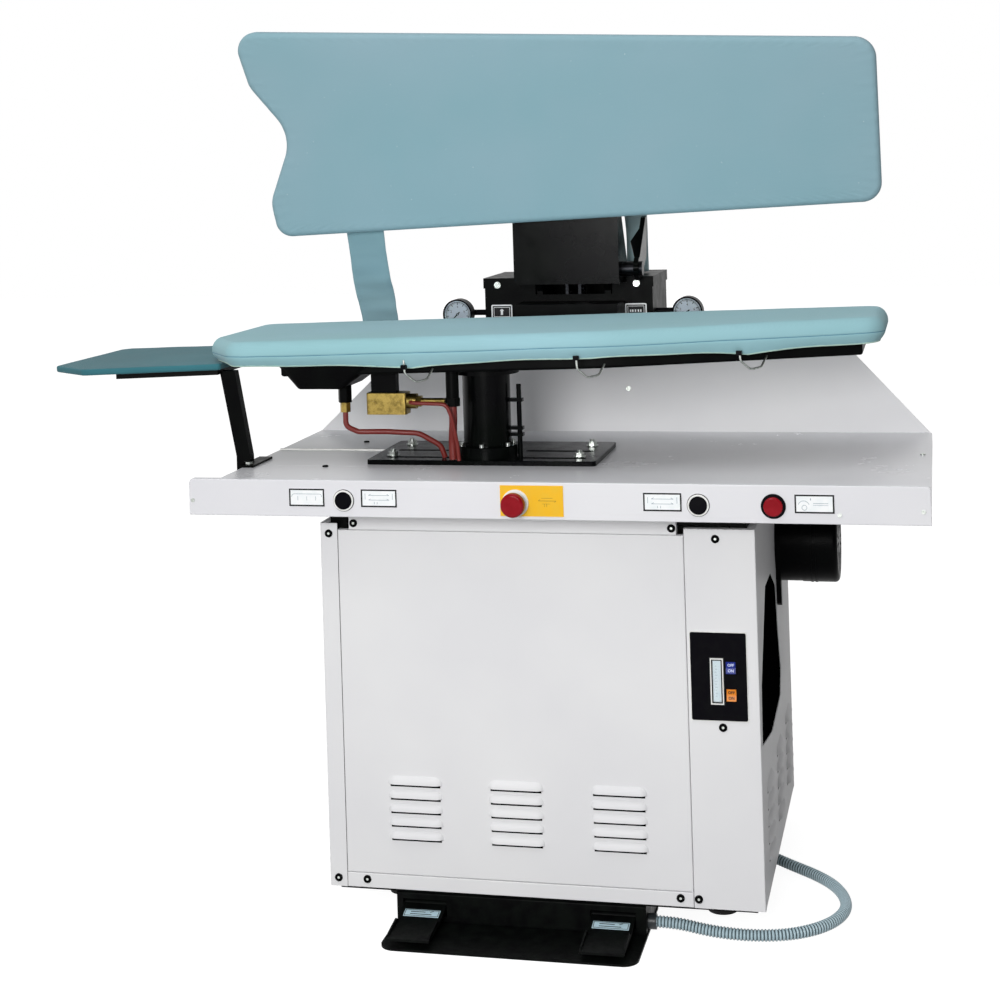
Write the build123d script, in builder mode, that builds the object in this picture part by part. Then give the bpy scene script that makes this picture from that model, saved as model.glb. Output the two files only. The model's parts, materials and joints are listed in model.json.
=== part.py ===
from build123d import *
from math import atan2, cos, degrees, pi, radians, sin, tan
import os

# Pneumatic ironing press, standing open. Millimetres, +X to the operator's right, +Y to the back,
# +Z up, origin on the floor below the middle of the cabinet.

os.makedirs("parts", exist_ok=True)

# cabinet
cabinet_width = 756.0
cabinet_depth = 628.0
panel_bottom = 60.0
panel_drop = 65.0
sheet = 1.5
fold_radius = 2.2
panel_return = 14.0
panel_gap = 0.6
left_flange = 31.0
column_cover_width = 119.0
rail_height = 23.0
rail_inset_left = 21.0
rail_inset_right = 12.0
bottom_rail_height = 25.0

# square tube frame
post_size = 30.0
tube_wall = 2.0
base_height = 40.0
base_drop = 8.0
ring_height = 60.0
weld_gap = 0.3
foot_line = 164.0
foot_inset = 45.0
foot_pad_radius = 26.0
foot_pad_height = 12.0
foot_stem_radius = 6.0

# louvres
louvre_length = 96.0
louvre_rise = 10.0
louvre_depth = 5.5
louvre_pitch = 23.4
louvre_rows = 5
louvre_blocks = 3
front_block_pitch = 178.0
front_block_middle = -41.0
front_louvre_bottom = 150.0
side_block_pitch = 194.0
side_block_middle = 12.0
side_louvre_bottom = 115.0
side_louvre_pitch = 29.0

# control plate with water level window and two rocker switches
plate_thickness = 3.0
control_width = 93.0
control_height = 146.0
control_inset = 66.5
control_middle_x = cabinet_width / 2 - control_inset
control_middle_z = 448.5
level_width = 21.0
level_height = 76.0
level_x = control_middle_x - 3.0
level_z = control_middle_z - 7.5
level_border = 3.5
level_depth = 15.0
level_proud = 1.5
rocker_width = 16.0
rocker_height = 19.6
rocker_x = control_middle_x + 20.5
blue_rocker_z = control_middle_z + 15.0
orange_rocker_z = control_middle_z - 30.5
rocker_clearance = 0.6
rocker_depth = 6.0
rocker_swing = 16.0
switch_wall = 2.0
switch_depth = 13.0

# boiler
boiler_radius = 150.0
boiler_length = 500.0
boiler_middle_x = -60.0
boiler_wall = 5.0
saddle_height = 40.0
saddle_thickness = 8.0
saddle_spacing = 300.0

# vacuum unit
motor_y = 110.0
motor_drop = 103.0
motor_radius = 75.0
motor_length = 47.0
cowl_length = 67.0
cowl_wall = 2.0
motor_wall = 8.0
shaft_radius = 10.0
running_clearance = 0.06
scroll_radius = 98.0
scroll_depth = 62.0
scroll_wall = 3.0
impeller_radius = 84.0
impeller_width = 34.0
fan_radius = 62.0
blade_count = 8
suction_depth = 58.0
suction_border = 8.0
suction_body_inset = 45.0
suction_setback = 4.0
suction_bolt_radius = 4.5
side_clearance = 1.0

# table
table_left = -587.0
table_right = 665.0
table_front = -394.0
table_back = 327.0
table_height = 758.0
table_sheet = 2.0
apron_lip = 24.0
apron_drop = 38.0
apron_fold = 14.0
apron_return = 15.0
apron_corner = 7.0
side_flange = 22.0
seam_width = 1.4
seam_front = -113.0
seam_back = 67.0
backsplash_height = 167.0
backsplash_return = 15.0
backsplash_left_cut = 104.0
backsplash_left_rise = 97.0
backsplash_right_cut = 155.0

# buttons and plates on the apron
button_drop = 10.0
label_drop = 5.5
label_width = 63.0
label_height = 30.0
label_thickness = 1.0
label_xs = (-372.5, -244.5, 237.5, 482.5)
apron_screw_x = 522.0
table_screw_front_x = -431.0
table_screw_back_x = -440.0
start_left_x = -307.0
start_right_x = 296.0
release_x = 417.0
estop_x = -8.0
ring_radius = 17.5
ring_height_out = 3.0
ring_wall = 2.6
start_button_proud = 2.0
release_ring_radius = 20.0
release_cap_radius = 15.5
release_proud = 6.0
button_clearance = 0.3
button_travel = 4.0
stem_radius = 5.0
stem_length = 26.0
switch_block_height = 24.0
switch_block_depth = 34.0
yellow_width = 107.0
yellow_height = 51.0
yellow_middle_x = 19.5
yellow_drop = 6.5
yellow_thickness = 1.5
estop_cap_radius = 20.0
estop_cap_height = 19.0
estop_collar_radius = 15.0
estop_collar_height = 10.0
estop_travel = 4.0

# column on its base plate
column_x = -140.0
column_y = -35.0
column_radius = 44.45
column_wall = 5.0
column_drop = 80.0
collar_radius = 56.0
collar_height = 22.0
collar_bolt_circle = 100.0
plate_width = 432.0
plate_depth = 230.0
plate_middle_x = -143.0
plate_middle_y = 20.0
base_plate_thickness = 9.0
slot_length = 130.0
slot_width = 15.0
slot_offset = 125.0
slot_front_offset = 25.0
slot_back_offset = 55.0
plate_bolt_x = 178.0
plate_bolt_y = 65.0
bolt_radius = 5.0
bolt_head_radius = 9.0
bolt_head_height = 6.5
side_pipe_offset = 61.5
side_pipe_radius = 4.5

# buck, a padded board that climbs to the right
rise_angle = 1.3
buck_rise = 252.0
buck_pad_depth = 42.0
buck_pad_top = 22.0
buck_pad_side = 10.0
buck_edge_radius = 15.0
chest_depth = 20.0
pan_depth = 29.0
pan_inset = 42.0
pan_left = -505.0
chest_wall = 3.0
seat_gap = 0.3
sump_left = -518.0
sump_right = -318.0
sump_front = -150.0
sump_back = 10.0
sump_drop = 107.0
sump_corner = 22.0
sump_left_slant = 43.0
sump_right_slant = 72.0
sump_side_slant = 12.0
boss_radius = 72.0
hook_wire = 1.9
hook_width = 44.0
hook_drop = 42.0
hook_xs = (-234.0, 82.0, 363.0)
fitting_y = -100.0
inlet_x = -395.0
outlet_x = -188.5
valve_left = -349.0
valve_length = 76.0
valve_width = 34.0
valve_drop = 156.0
valve_height = 40.0
thin_hose_radius = 5.0
thick_hose_radius = 7.5
copper_radius = 3.5

# left shelf
shelf_angle = 1.0
shelf_drop = 60.0
shelf_thickness = 13.0
shelf_bar_height = 9.0
shelf_joint_x = -640.0
leg_y = -85.0
shelf_bar_back = 200.0
leg_width = 30.0
leg_thickness = 20.0
leg_foot_x = -600.0
leg_top_x = -629.0
foot_bracket_front = -140.0
foot_bracket_back = -36.0
bracket_thickness = 4.0

# hinge of the head
hinge_y = 318.0
hinge_rise = 78.0
opening = 82.0
hinge_shaft_radius = 15.0
hinge_eye_radius = 21.0
frame_plate = 12.0
left_plate_x = -114.0
right_plate_x = 28.0

# head
face_gap = 3.0
head_pad_depth = 25.0
head_pad_radius = 12.0
head_chest_depth = 37.0
head_chest_inset = 8.0
arm_left = -150.0
arm_right = 65.0
arm_cheek = 8.0
arm_plate = 8.0
arm_front = 268.0
arm_bottom = 26.0
arm_reach = 260.0
arm_depth = 45.0
arm_gap = 3.0
lever_x = 95.0
lever_thickness = 10.0
lug_radius = 75.0
lug_angle = -35.0
lug_thickness = 12.0
lug_pin_radius = 6.0
lug_eye_radius = 13.0
hub_radius = 24.0

# pneumatic cylinder
cylinder_x = -45.0
cylinder_radius = 31.5
bore_radius = 25.0
cylinder_length = 190.0
cylinder_cap = 12.0
rod_radius = 10.0
piston_height = 15.0
piston_clearance = 0.3
yoke_wall = 6.0
yoke_depth = 54.0
yoke_height = 54.0
yoke_gap = 20.0
yoke_base = 12.0
slot_play = 3.0

# rear housing and gauges
housing_left = -230.0
housing_right = 120.0
housing_front = 345.0
housing_back = 540.0
housing_height = 371.0
housing_drop = 17.0
housing_sheet = 2.0
lid_lip = 21.0
lid_gap = 0.4
housing_plate_width = 44.0
housing_plate_height = 30.0
housing_plate_drop = 70.0
gauge_radius = 31.0
gauge_depth = 30.0
gauge_drop = 74.0
gauge_y = 360.0
gauge_offset = 61.0
gauge_rim = 3.0
gauge_recess = 6.0
needle_length = 19.0
needle_angle = 45.0

# cloth ducts to the head
duct_left = -500.0
duct_width = 80.0
duct_thickness = 8.0
sleeve_left = 52.0
sleeve_width = 46.0
sleeve_y = 450.0

# pedal unit
pedal_plate_left = -262.0
pedal_plate_right = 177.0
pedal_plate_front = -422.0
pedal_plate_back = -180.0
pedal_plate_thickness = 4.0
pedal_plate_corner = 26.0
pedal_box_front = -301.0
pedal_box_gap = 1.0
pedal_box_sheet = 2.0
pedal_width = 75.0
left_pedal_x = -212.0
right_pedal_x = 118.0
pedal_front = -416.0
pedal_bend = -334.0
pedal_thickness = 4.0
pedal_clearance = 1.5
pedal_pin_y = -288.0
pedal_pin_z = 28.0
pedal_pin_radius = 4.0
pedal_hub_radius = 8.0
pedal_rear_height = 29.0
pedal_bend_height = 21.0
pedal_front_height = 18.0
pedal_cheek = 7.0

# ribbed conduit on the floor
conduit_radius = 10.0
conduit_bore = 7.6
rib_pitch = 5.8
rib_height = 1.3
gland_radius = 14.0
gland_length = 14.0

# heights and faces that follow
panel_top = table_height - panel_drop
motor_z = panel_top - motor_drop
apron_top = table_height + apron_lip
apron_bottom = table_height - apron_drop
backsplash_top = table_height + backsplash_height
control_line = table_height - button_drop
label_line = table_height - label_drop
yellow_middle_z = table_height - yellow_drop
buck_height = table_height + buck_rise
column_top = buck_height - column_drop
sump_bottom = buck_height - sump_drop
valve_bottom = buck_height - valve_drop
shelf_height = buck_height - shelf_drop
face_height = buck_height + face_gap
hinge_z = buck_height + hinge_rise
housing_top = hinge_z - housing_drop
housing_bottom = housing_top - housing_height
housing_plate_z = housing_top - housing_plate_drop
gauge_z = housing_top - gauge_drop
front_y = -cabinet_depth / 2
back_y = cabinet_depth / 2
side_x = cabinet_width / 2
frame_x = side_x - panel_return - panel_gap
frame_y = cabinet_depth / 2 - panel_return - panel_gap
base_bottom = panel_bottom - base_drop
base_top = base_bottom + base_height
base_mid = base_bottom + base_height / 2
table_under = table_height - table_sheet
ring_bottom = table_under - ring_height
post_bottom = base_top + weld_gap
post_top = ring_bottom - weld_gap
cover_left = side_x - column_cover_width
flange_right = -side_x + left_flange
front_panel_left = flange_right + panel_gap
front_panel_right = cover_left - panel_gap
front_panel_bottom = panel_bottom + bottom_rail_height + panel_gap
front_panel_top = panel_top - rail_height / 2
plate_top = table_height + base_plate_thickness
pedal_box_top = base_bottom - pedal_box_gap

front_face = Plane.XZ.offset(cabinet_depth / 2)
right_face = Plane.YZ.offset(cabinet_width / 2)
left_face = Plane(origin=(-side_x, 0, 0), x_dir=(0, -1, 0), z_dir=(-1, 0, 0))
back_face = Plane(origin=(0, back_y, 0), x_dir=(-1, 0, 0), z_dir=(0, 1, 0))
apron_face = Plane.XZ.offset(-table_front)
housing_face = Plane.XZ.offset(-housing_front)
low_corner = (Align.MIN, Align.MIN)

# cabinet frame: separate lengths of square tube

with BuildPart() as base_frame:
    with BuildSketch(Plane.YZ.offset(-frame_x)):
        with Locations((-frame_y + post_size / 2, base_mid), (frame_y - post_size / 2, base_mid)):
            Rectangle(post_size, base_height)
            Rectangle(post_size - 2 * tube_wall, base_height - 2 * tube_wall, mode=Mode.SUBTRACT)
    extrude(amount=2 * frame_x)
    side_bar = 2 * (frame_y - post_size - weld_gap)
    with BuildSketch(Plane.XZ.offset(side_bar / 2)):
        with Locations((-frame_x + post_size / 2, base_mid), (frame_x - post_size / 2, base_mid)):
            Rectangle(post_size, base_height)
            Rectangle(post_size - 2 * tube_wall, base_height - 2 * tube_wall, mode=Mode.SUBTRACT)
    extrude(amount=-side_bar)
    cross_bar = 2 * (frame_x - post_size - weld_gap)
    with BuildSketch(Plane.YZ.offset(-cross_bar / 2)):
        with Locations((-foot_line, base_mid), (foot_line, base_mid)):
            Rectangle(post_size, base_height)
            Rectangle(post_size - 2 * tube_wall, base_height - 2 * tube_wall, mode=Mode.SUBTRACT)
    extrude(amount=cross_bar)
base_frame.part.label = "base_frame"
export_step(base_frame.part, "parts/base_frame.step")

foot_x = frame_x - post_size - foot_inset
with BuildPart() as levelling_feet:
    with BuildSketch(Plane.XY):
        with GridLocations(2 * foot_x, 2 * foot_line, 2, 2):
            Circle(foot_pad_radius)
    extrude(amount=foot_pad_height)
    fillet(levelling_feet.faces().group_by(Axis.Z)[-1].edges(), foot_pad_height / 4)
    with BuildSketch(Plane.XY.offset(foot_pad_height)):
        with GridLocations(2 * foot_x, 2 * foot_line, 2, 2):
            Circle(foot_stem_radius)
    extrude(amount=base_bottom - foot_pad_height)
    with BuildSketch(Plane.XY.offset(base_bottom - foot_stem_radius)):
        with GridLocations(2 * foot_x, 2 * foot_line, 2, 2):
            RegularPolygon(foot_stem_radius * 1.9, 6)
    extrude(amount=foot_stem_radius)
levelling_feet.part.label = "levelling_feet"
export_step(levelling_feet.part, "parts/levelling_feet.step")

with BuildPart() as frame_uprights:
    with BuildSketch(Plane.XY.offset(post_bottom)):
        with GridLocations(2 * frame_x - post_size, 2 * frame_y - post_size, 2, 2):
            Rectangle(post_size, post_size)
            Rectangle(post_size - 2 * tube_wall, post_size - 2 * tube_wall, mode=Mode.SUBTRACT)
    extrude(amount=post_top - post_bottom)
    ring_mid = ring_bottom + ring_height / 2
    with BuildSketch(Plane.YZ.offset(-frame_x)):
        with Locations((-frame_y + post_size / 2, ring_mid), (frame_y - post_size / 2, ring_mid)):
            Rectangle(post_size, ring_height)
            Rectangle(post_size - 2 * tube_wall, ring_height - 2 * tube_wall, mode=Mode.SUBTRACT)
    extrude(amount=2 * frame_x)
    with BuildSketch(Plane.XZ.offset(side_bar / 2)):
        with Locations((-frame_x + post_size / 2, ring_mid), (frame_x - post_size / 2, ring_mid)):
            Rectangle(post_size, ring_height)
            Rectangle(post_size - 2 * tube_wall, ring_height - 2 * tube_wall, mode=Mode.SUBTRACT)
    extrude(amount=-side_bar)
frame_uprights.part.label = "frame_uprights"
export_step(frame_uprights.part, "parts/frame_uprights.step")

# sheet metal panels

# one louvre stands on the panel's face: a drawn-out half slot, open along its straight lower edge
with BuildPart() as louvre_hood:
    with BuildSketch():
        SlotOverall(louvre_length, 2 * louvre_rise)
        with Locations((0, -louvre_rise)):
            Rectangle(2 * louvre_length, 2 * louvre_rise, mode=Mode.SUBTRACT)
    extrude(amount=louvre_depth, taper=42)
with BuildPart() as louvre_pocket:
    with BuildSketch(Plane.XY.offset(-2 * sheet)):
        SlotOverall(louvre_length - 2 * sheet, 2 * (louvre_rise - sheet))
        with Locations((0, -louvre_rise - sheet)):
            Rectangle(2 * louvre_length, 2 * louvre_rise, mode=Mode.SUBTRACT)
    extrude(amount=2 * sheet)
    with BuildSketch():
        SlotOverall(louvre_length - 2 * sheet, 2 * (louvre_rise - sheet))
        with Locations((0, -louvre_rise - sheet)):
            Rectangle(2 * louvre_length, 2 * louvre_rise, mode=Mode.SUBTRACT)
    extrude(amount=louvre_depth - sheet, taper=42)

block_steps = [i - (louvre_blocks - 1) / 2 for i in range(louvre_blocks)]
front_louvres = [
    (front_block_middle + front_block_pitch * i, front_louvre_bottom + louvre_pitch * row)
    for i in block_steps
    for row in range(louvre_rows)
]
side_louvres = [
    (side_block_middle + side_block_pitch * i, side_louvre_bottom + side_louvre_pitch * row)
    for i in block_steps
    for row in range(louvre_rows)
]

panel_width = front_panel_right - front_panel_left
panel_height = front_panel_top - front_panel_bottom
panel_middle = ((front_panel_left + front_panel_right) / 2, (front_panel_bottom + front_panel_top) / 2)
with BuildPart() as front_panel:
    with BuildSketch(front_face):
        with Locations(panel_middle):
            Rectangle(panel_width, panel_height)
    extrude(amount=-panel_return)
    fillet(front_panel.faces().sort_by(Axis.Y)[0].edges(), fold_radius)
    with BuildSketch(front_face.offset(-sheet)):
        with Locations(panel_middle):
            Rectangle(panel_width - 2 * sheet, panel_height - 2 * sheet)
    extrude(amount=-panel_return, mode=Mode.SUBTRACT)
    with Locations(front_face):
        with Locations(*front_louvres):
            add(louvre_hood.part)
            add(louvre_pocket.part, mode=Mode.SUBTRACT)
front_panel.part.label = "front_panel"
export_step(front_panel.part, "parts/front_panel.step")

top_rail_left = flange_right + rail_inset_left
top_rail_right = cover_left - rail_inset_right
with BuildPart() as front_rails:
    with BuildSketch(front_face):
        with Locations((top_rail_left, front_panel_top + panel_gap)):
            Rectangle(top_rail_right - top_rail_left, rail_height, align=low_corner)
        with Locations((front_panel_left, panel_bottom)):
            Rectangle(panel_width, bottom_rail_height, align=low_corner)
    extrude(amount=-panel_return)
    fillet(front_rails.faces().group_by(Axis.Y)[0].edges(), sheet)
    with BuildSketch(front_face.offset(-sheet)):
        with Locations((top_rail_left + sheet, front_panel_top + panel_gap + sheet)):
            Rectangle(top_rail_right - top_rail_left - 2 * sheet, rail_height - 2 * sheet, align=low_corner)
        with Locations((front_panel_left + sheet, panel_bottom + sheet)):
            Rectangle(panel_width - 2 * sheet, bottom_rail_height - 2 * sheet, align=low_corner)
    extrude(amount=-panel_return, mode=Mode.SUBTRACT)
front_rails.part.label = "front_rails"
export_step(front_rails.part, "parts/front_rails.step")

panel_rise = panel_top - panel_bottom
panel_mid = (panel_top + panel_bottom) / 2
side_length = cabinet_depth - panel_return - panel_gap
with BuildPart() as left_side_panel:
    with BuildSketch(left_face):
        with Locations(((panel_return + panel_gap) / 2, panel_mid)):
            Rectangle(side_length, panel_rise)
    extrude(amount=-panel_return)
    with BuildSketch(front_face):
        with Locations((-side_x, panel_bottom)):
            Rectangle(left_flange, panel_rise, align=low_corner)
    extrude(amount=-sheet)
    fillet(left_side_panel.edges().filter_by(Axis.Z).sort_by(Axis.X)[:2], fold_radius)
    with BuildSketch(left_face.offset(-sheet)):
        with Locations(((panel_return + panel_gap) / 2, panel_mid)):
            Rectangle(side_length - 2 * sheet, panel_rise - 2 * sheet)
    extrude(amount=-left_flange, mode=Mode.SUBTRACT)
left_side_panel.part.label = "left_side_panel"
export_step(left_side_panel.part, "parts/left_side_panel.step")

# measured down from the axis of the motor
opening_points = [
    (-58, motor_z - 25),
    (-165, motor_z - 25),
    (-274, motor_z - 166),
    (-286, motor_z - 264),
    (-106, motor_z - 294),
    (75, motor_z - 282),
    (99, motor_z - 241),
    (59, motor_z - 153),
    (36, motor_z - 70),
]
opening_middle = (-92, motor_z - 160)
short_side = cabinet_depth - 2 * (panel_return + panel_gap)
with BuildPart() as right_side_panel:
    with BuildSketch(right_face):
        with Locations((0, panel_mid)):
            Rectangle(short_side, panel_rise)
    extrude(amount=-panel_return)
    fillet(right_side_panel.faces().sort_by(Axis.X)[-1].edges(), sheet)
    with BuildSketch(right_face.offset(-sheet)):
        with Locations((0, panel_mid)):
            Rectangle(short_side - 2 * sheet, panel_rise - 2 * sheet)
    extrude(amount=-panel_return, mode=Mode.SUBTRACT)
    with BuildSketch(right_face):
        Polygon(*opening_points, align=None)
        with Locations((motor_y, motor_z)):
            Circle(shaft_radius * 2)
    extrude(amount=-2 * sheet, mode=Mode.SUBTRACT)
    with Locations(right_face):
        with Locations(*side_louvres):
            add(louvre_hood.part)
            add(louvre_pocket.part, mode=Mode.SUBTRACT)
right_side_panel.part.label = "right_side_panel"
export_step(right_side_panel.part, "parts/right_side_panel.step")

window_left = level_x - level_width / 2 - 1
window_right = rocker_x + rocker_width / 2 + switch_wall + 1
window_bottom = level_z - level_height / 2 - 1
window_top = level_z + level_height / 2 + 1
with BuildPart() as right_column_cover:
    with BuildSketch(front_face):
        with Locations((cover_left, panel_bottom)):
            Rectangle(column_cover_width, panel_rise, align=low_corner)
    extrude(amount=-panel_return)
    fillet(right_column_cover.edges().filter_by(Axis.Z).group_by(Axis.Y)[0], fold_radius)
    with BuildSketch(front_face.offset(-sheet)):
        with Locations((cover_left + sheet, panel_bottom + sheet)):
            Rectangle(column_cover_width - 2 * sheet, panel_rise - 2 * sheet, align=low_corner)
    extrude(amount=-panel_return, mode=Mode.SUBTRACT)
    with BuildSketch(front_face):
        with Locations((window_left, window_bottom)):
            Rectangle(window_right - window_left, window_top - window_bottom, align=low_corner)
    extrude(amount=-2 * sheet, mode=Mode.SUBTRACT)
right_column_cover.part.label = "right_column_cover"
export_step(right_column_cover.part, "parts/right_column_cover.step")

with BuildPart() as back_panel:
    with BuildSketch(back_face):
        with Locations((0, panel_mid)):
            Rectangle(cabinet_width, panel_rise)
    extrude(amount=-panel_return)
    fillet(back_panel.faces().sort_by(Axis.Y)[-1].edges(), fold_radius)
    with BuildSketch(back_face.offset(-sheet)):
        with Locations((0, panel_mid)):
            Rectangle(cabinet_width - 2 * sheet, panel_rise - 2 * sheet)
    extrude(amount=-panel_return, mode=Mode.SUBTRACT)
back_panel.part.label = "back_panel"
export_step(back_panel.part, "parts/back_panel.step")

# control plate, level window and rocker switches

rocker_zs = (blue_rocker_z, orange_rocker_z)
hole_width = rocker_width + 2 * rocker_clearance
hole_height = rocker_height + 2 * rocker_clearance
with BuildPart() as control_plate:
    with BuildSketch(front_face):
        with Locations((control_middle_x, control_middle_z)):
            RectangleRounded(control_width, control_height, 3)
    extrude(amount=plate_thickness)
    with BuildSketch(front_face):
        with Locations(*[(rocker_x, z) for z in rocker_zs]):
            Rectangle(hole_width + 2 * switch_wall, hole_height + 2 * switch_wall)
    extrude(amount=-switch_depth)
    with BuildSketch(front_face.offset(plate_thickness)):
        with Locations(*[(rocker_x, z) for z in rocker_zs]):
            Rectangle(hole_width, hole_height)
    extrude(amount=-plate_thickness - rocker_depth, mode=Mode.SUBTRACT)
    with BuildSketch(front_face.offset(plate_thickness)):
        with Locations((level_x, level_z)):
            Rectangle(level_width, level_height)
    extrude(amount=-2 * plate_thickness, mode=Mode.SUBTRACT)
control_plate.part.label = "control_plate"
export_step(control_plate.part, "parts/control_plate.step")

level_glass_width = level_width - 2 * level_border
level_glass_height = level_height - 2 * level_border
with BuildPart() as level_frame:
    with BuildSketch(front_face.offset(plate_thickness + level_proud)):
        with Locations((level_x, level_z)):
            Rectangle(level_width, level_height)
    extrude(amount=-level_depth)
    fillet(level_frame.faces().sort_by(Axis.Y)[0].edges(), 0.8)
    with BuildSketch(front_face.offset(plate_thickness + level_proud)):
        with Locations((level_x, level_z)):
            Rectangle(level_glass_width, level_glass_height)
    extrude(amount=-4, mode=Mode.SUBTRACT)
level_frame.part.label = "level_frame"
export_step(level_frame.part, "parts/level_frame.step")

# the rocker's face is a shallow V, and its lower half stands out at rest
half = rocker_height / 2
rocker_profile = [(-2.5, -half), (-2.5, half), (plate_thickness + 3.2, half), (plate_thickness + 1.0, 0)]
rocker_profile = rocker_profile + [(plate_thickness + 3.2, -half)]
rocker_turn = radians(rocker_swing / 2)
rocker_points = [
    (
        front_y - (d * cos(rocker_turn) - h * sin(rocker_turn)),
        d * sin(rocker_turn) + h * cos(rocker_turn),
    )
    for d, h in rocker_profile
]
with BuildPart() as blue_rocker:
    with BuildSketch(Plane.YZ.offset(rocker_x - rocker_width / 2)):
        Polygon(*[(y, blue_rocker_z + h) for y, h in rocker_points], align=None)
    extrude(amount=rocker_width)
    fillet(blue_rocker.edges().filter_by(Axis.X).group_by(Axis.Y)[0], 0.8)
blue_rocker.part.label = "blue_rocker"
export_step(blue_rocker.part, "parts/blue_rocker.step")

with BuildPart() as orange_rocker:
    with BuildSketch(Plane.YZ.offset(rocker_x - rocker_width / 2)):
        Polygon(*[(y, orange_rocker_z + h) for y, h in rocker_points], align=None)
    extrude(amount=rocker_width)
    fillet(orange_rocker.edges().filter_by(Axis.X).group_by(Axis.Y)[0], 0.8)
orange_rocker.part.label = "orange_rocker"
export_step(orange_rocker.part, "parts/orange_rocker.step")

# boiler and vacuum unit inside the cabinet

boiler_z = base_top + saddle_height + boiler_radius
with BuildPart() as boiler:
    with BuildSketch(Plane.YZ.offset(boiler_middle_x - boiler_length / 2)):
        with Locations((0, boiler_z)):
            Circle(boiler_radius)
    extrude(amount=boiler_length)
    fillet(boiler.edges().filter_by(GeomType.CIRCLE), 2 * boiler_wall)
    for step in (-0.5, 0.5):
        with BuildSketch(Plane.YZ.offset(boiler_middle_x + saddle_spacing * step - saddle_thickness / 2)):
            with Locations((0, base_top)):
                Rectangle(2 * foot_line + post_size, saddle_height, align=(Align.CENTER, Align.MIN))
                Rectangle(boiler_radius, boiler_radius, align=(Align.CENTER, Align.MIN))
        extrude(amount=saddle_thickness)
    with BuildSketch(Plane.YZ.offset(boiler_middle_x - boiler_length / 2 + boiler_wall)):
        with Locations((0, boiler_z)):
            Circle(boiler_radius - boiler_wall)
    extrude(amount=boiler_length - 2 * boiler_wall, mode=Mode.SUBTRACT)
boiler.part.label = "boiler"
export_step(boiler.part, "parts/boiler.step")

suction_face_x = side_x - sheet - suction_setback
scroll_face_x = side_x - sheet - side_clearance
scroll_start_x = scroll_face_x - scroll_depth
with BuildPart() as blower_scroll:
    with BuildSketch(Plane.YZ.offset(frame_x + seat_gap)):
        Polygon(*opening_points, align=None)
        offset(amount=suction_border, kind=Kind.INTERSECTION)
    extrude(amount=suction_face_x - frame_x - seat_gap)
    with BuildSketch(Plane.YZ.offset(suction_face_x - suction_depth)):
        Polygon(*opening_points, align=None)
        offset(amount=-suction_body_inset, kind=Kind.INTERSECTION)
    extrude(amount=suction_depth)
    with BuildSketch(Plane.YZ.offset(suction_face_x)):
        middle_y, middle_z = opening_middle
        with Locations(*[(middle_y + (y - middle_y) * 0.9, middle_z + (z - middle_z) * 0.88) for y, z in opening_points]):
            RegularPolygon(suction_bolt_radius, 6)
    extrude(amount=3)
    with BuildSketch(Plane.YZ.offset(scroll_start_x)):
        with Locations((motor_y, motor_z)):
            Circle(scroll_radius)
    extrude(amount=scroll_depth)
    with BuildSketch(Plane.YZ.offset(scroll_start_x + scroll_wall)):
        with Locations((motor_y, motor_z)):
            Circle(scroll_radius - scroll_wall)
    extrude(amount=scroll_depth - 2 * scroll_wall, mode=Mode.SUBTRACT)
    with BuildSketch(Plane.YZ.offset(scroll_face_x - scroll_wall)):
        with Locations((motor_y, motor_z)):
            Circle(shaft_radius + running_clearance)
    extrude(amount=2 * scroll_wall, mode=Mode.SUBTRACT)
blower_scroll.part.label = "blower_scroll"
export_step(blower_scroll.part, "parts/blower_scroll.step")

cowl_start_x = side_x + motor_length
cowl_end_x = cowl_start_x + cowl_length
impeller_x = scroll_start_x + (scroll_depth - impeller_width) / 2
fan_start_x = cowl_start_x + cowl_length / 4
with BuildPart() as fan_rotor:
    with BuildSketch(Plane.YZ.offset(impeller_x)):
        with Locations((motor_y, motor_z)):
            Circle(shaft_radius)
    extrude(amount=fan_start_x + cowl_length / 3 - impeller_x)
    with BuildSketch(Plane.YZ.offset(impeller_x)):
        with Locations((motor_y, motor_z)):
            Circle(impeller_radius)
    extrude(amount=3)
    with BuildSketch(Plane.YZ.offset(fan_start_x)):
        with Locations((motor_y, motor_z)):
            Circle(fan_radius / 2)
    extrude(amount=3)
    with BuildSketch(Plane.YZ.offset(impeller_x)):
        with Locations((motor_y, motor_z)):
            with PolarLocations(impeller_radius * 0.7, blade_count):
                Rectangle(impeller_radius * 0.5, 2.5)
    extrude(amount=impeller_width)
    with BuildSketch(Plane.YZ.offset(fan_start_x)):
        with Locations((motor_y, motor_z)):
            with PolarLocations(fan_radius * 0.7, blade_count):
                Rectangle(fan_radius * 0.5, 2.5)
    extrude(amount=cowl_length / 3)
fan_rotor.part.label = "fan_rotor"
export_step(fan_rotor.part, "parts/fan_rotor.step")

with BuildPart() as motor_body:
    with BuildSketch(right_face):
        with Locations((motor_y, motor_z)):
            Circle(motor_radius)
    extrude(amount=motor_length)
    with BuildSketch(right_face.offset(motor_wall)):
        with Locations((motor_y, motor_z)):
            Circle(motor_radius - motor_wall)
    extrude(amount=motor_length, mode=Mode.SUBTRACT)
    with BuildSketch(right_face):
        with Locations((motor_y, motor_z)):
            Circle(shaft_radius + running_clearance)
    extrude(amount=motor_wall, mode=Mode.SUBTRACT)
    # small stay below the motor's flange
    with BuildSketch(right_face):
        with Locations((motor_y - motor_radius * 0.55, motor_z)):
            Polygon((0, 0), (-4, -motor_radius * 1.5), (-14, -motor_radius * 1.42), (-26, 0), align=None)
    extrude(amount=9)
motor_body.part.label = "motor_body"
export_step(motor_body.part, "parts/motor_body.step")

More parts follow.
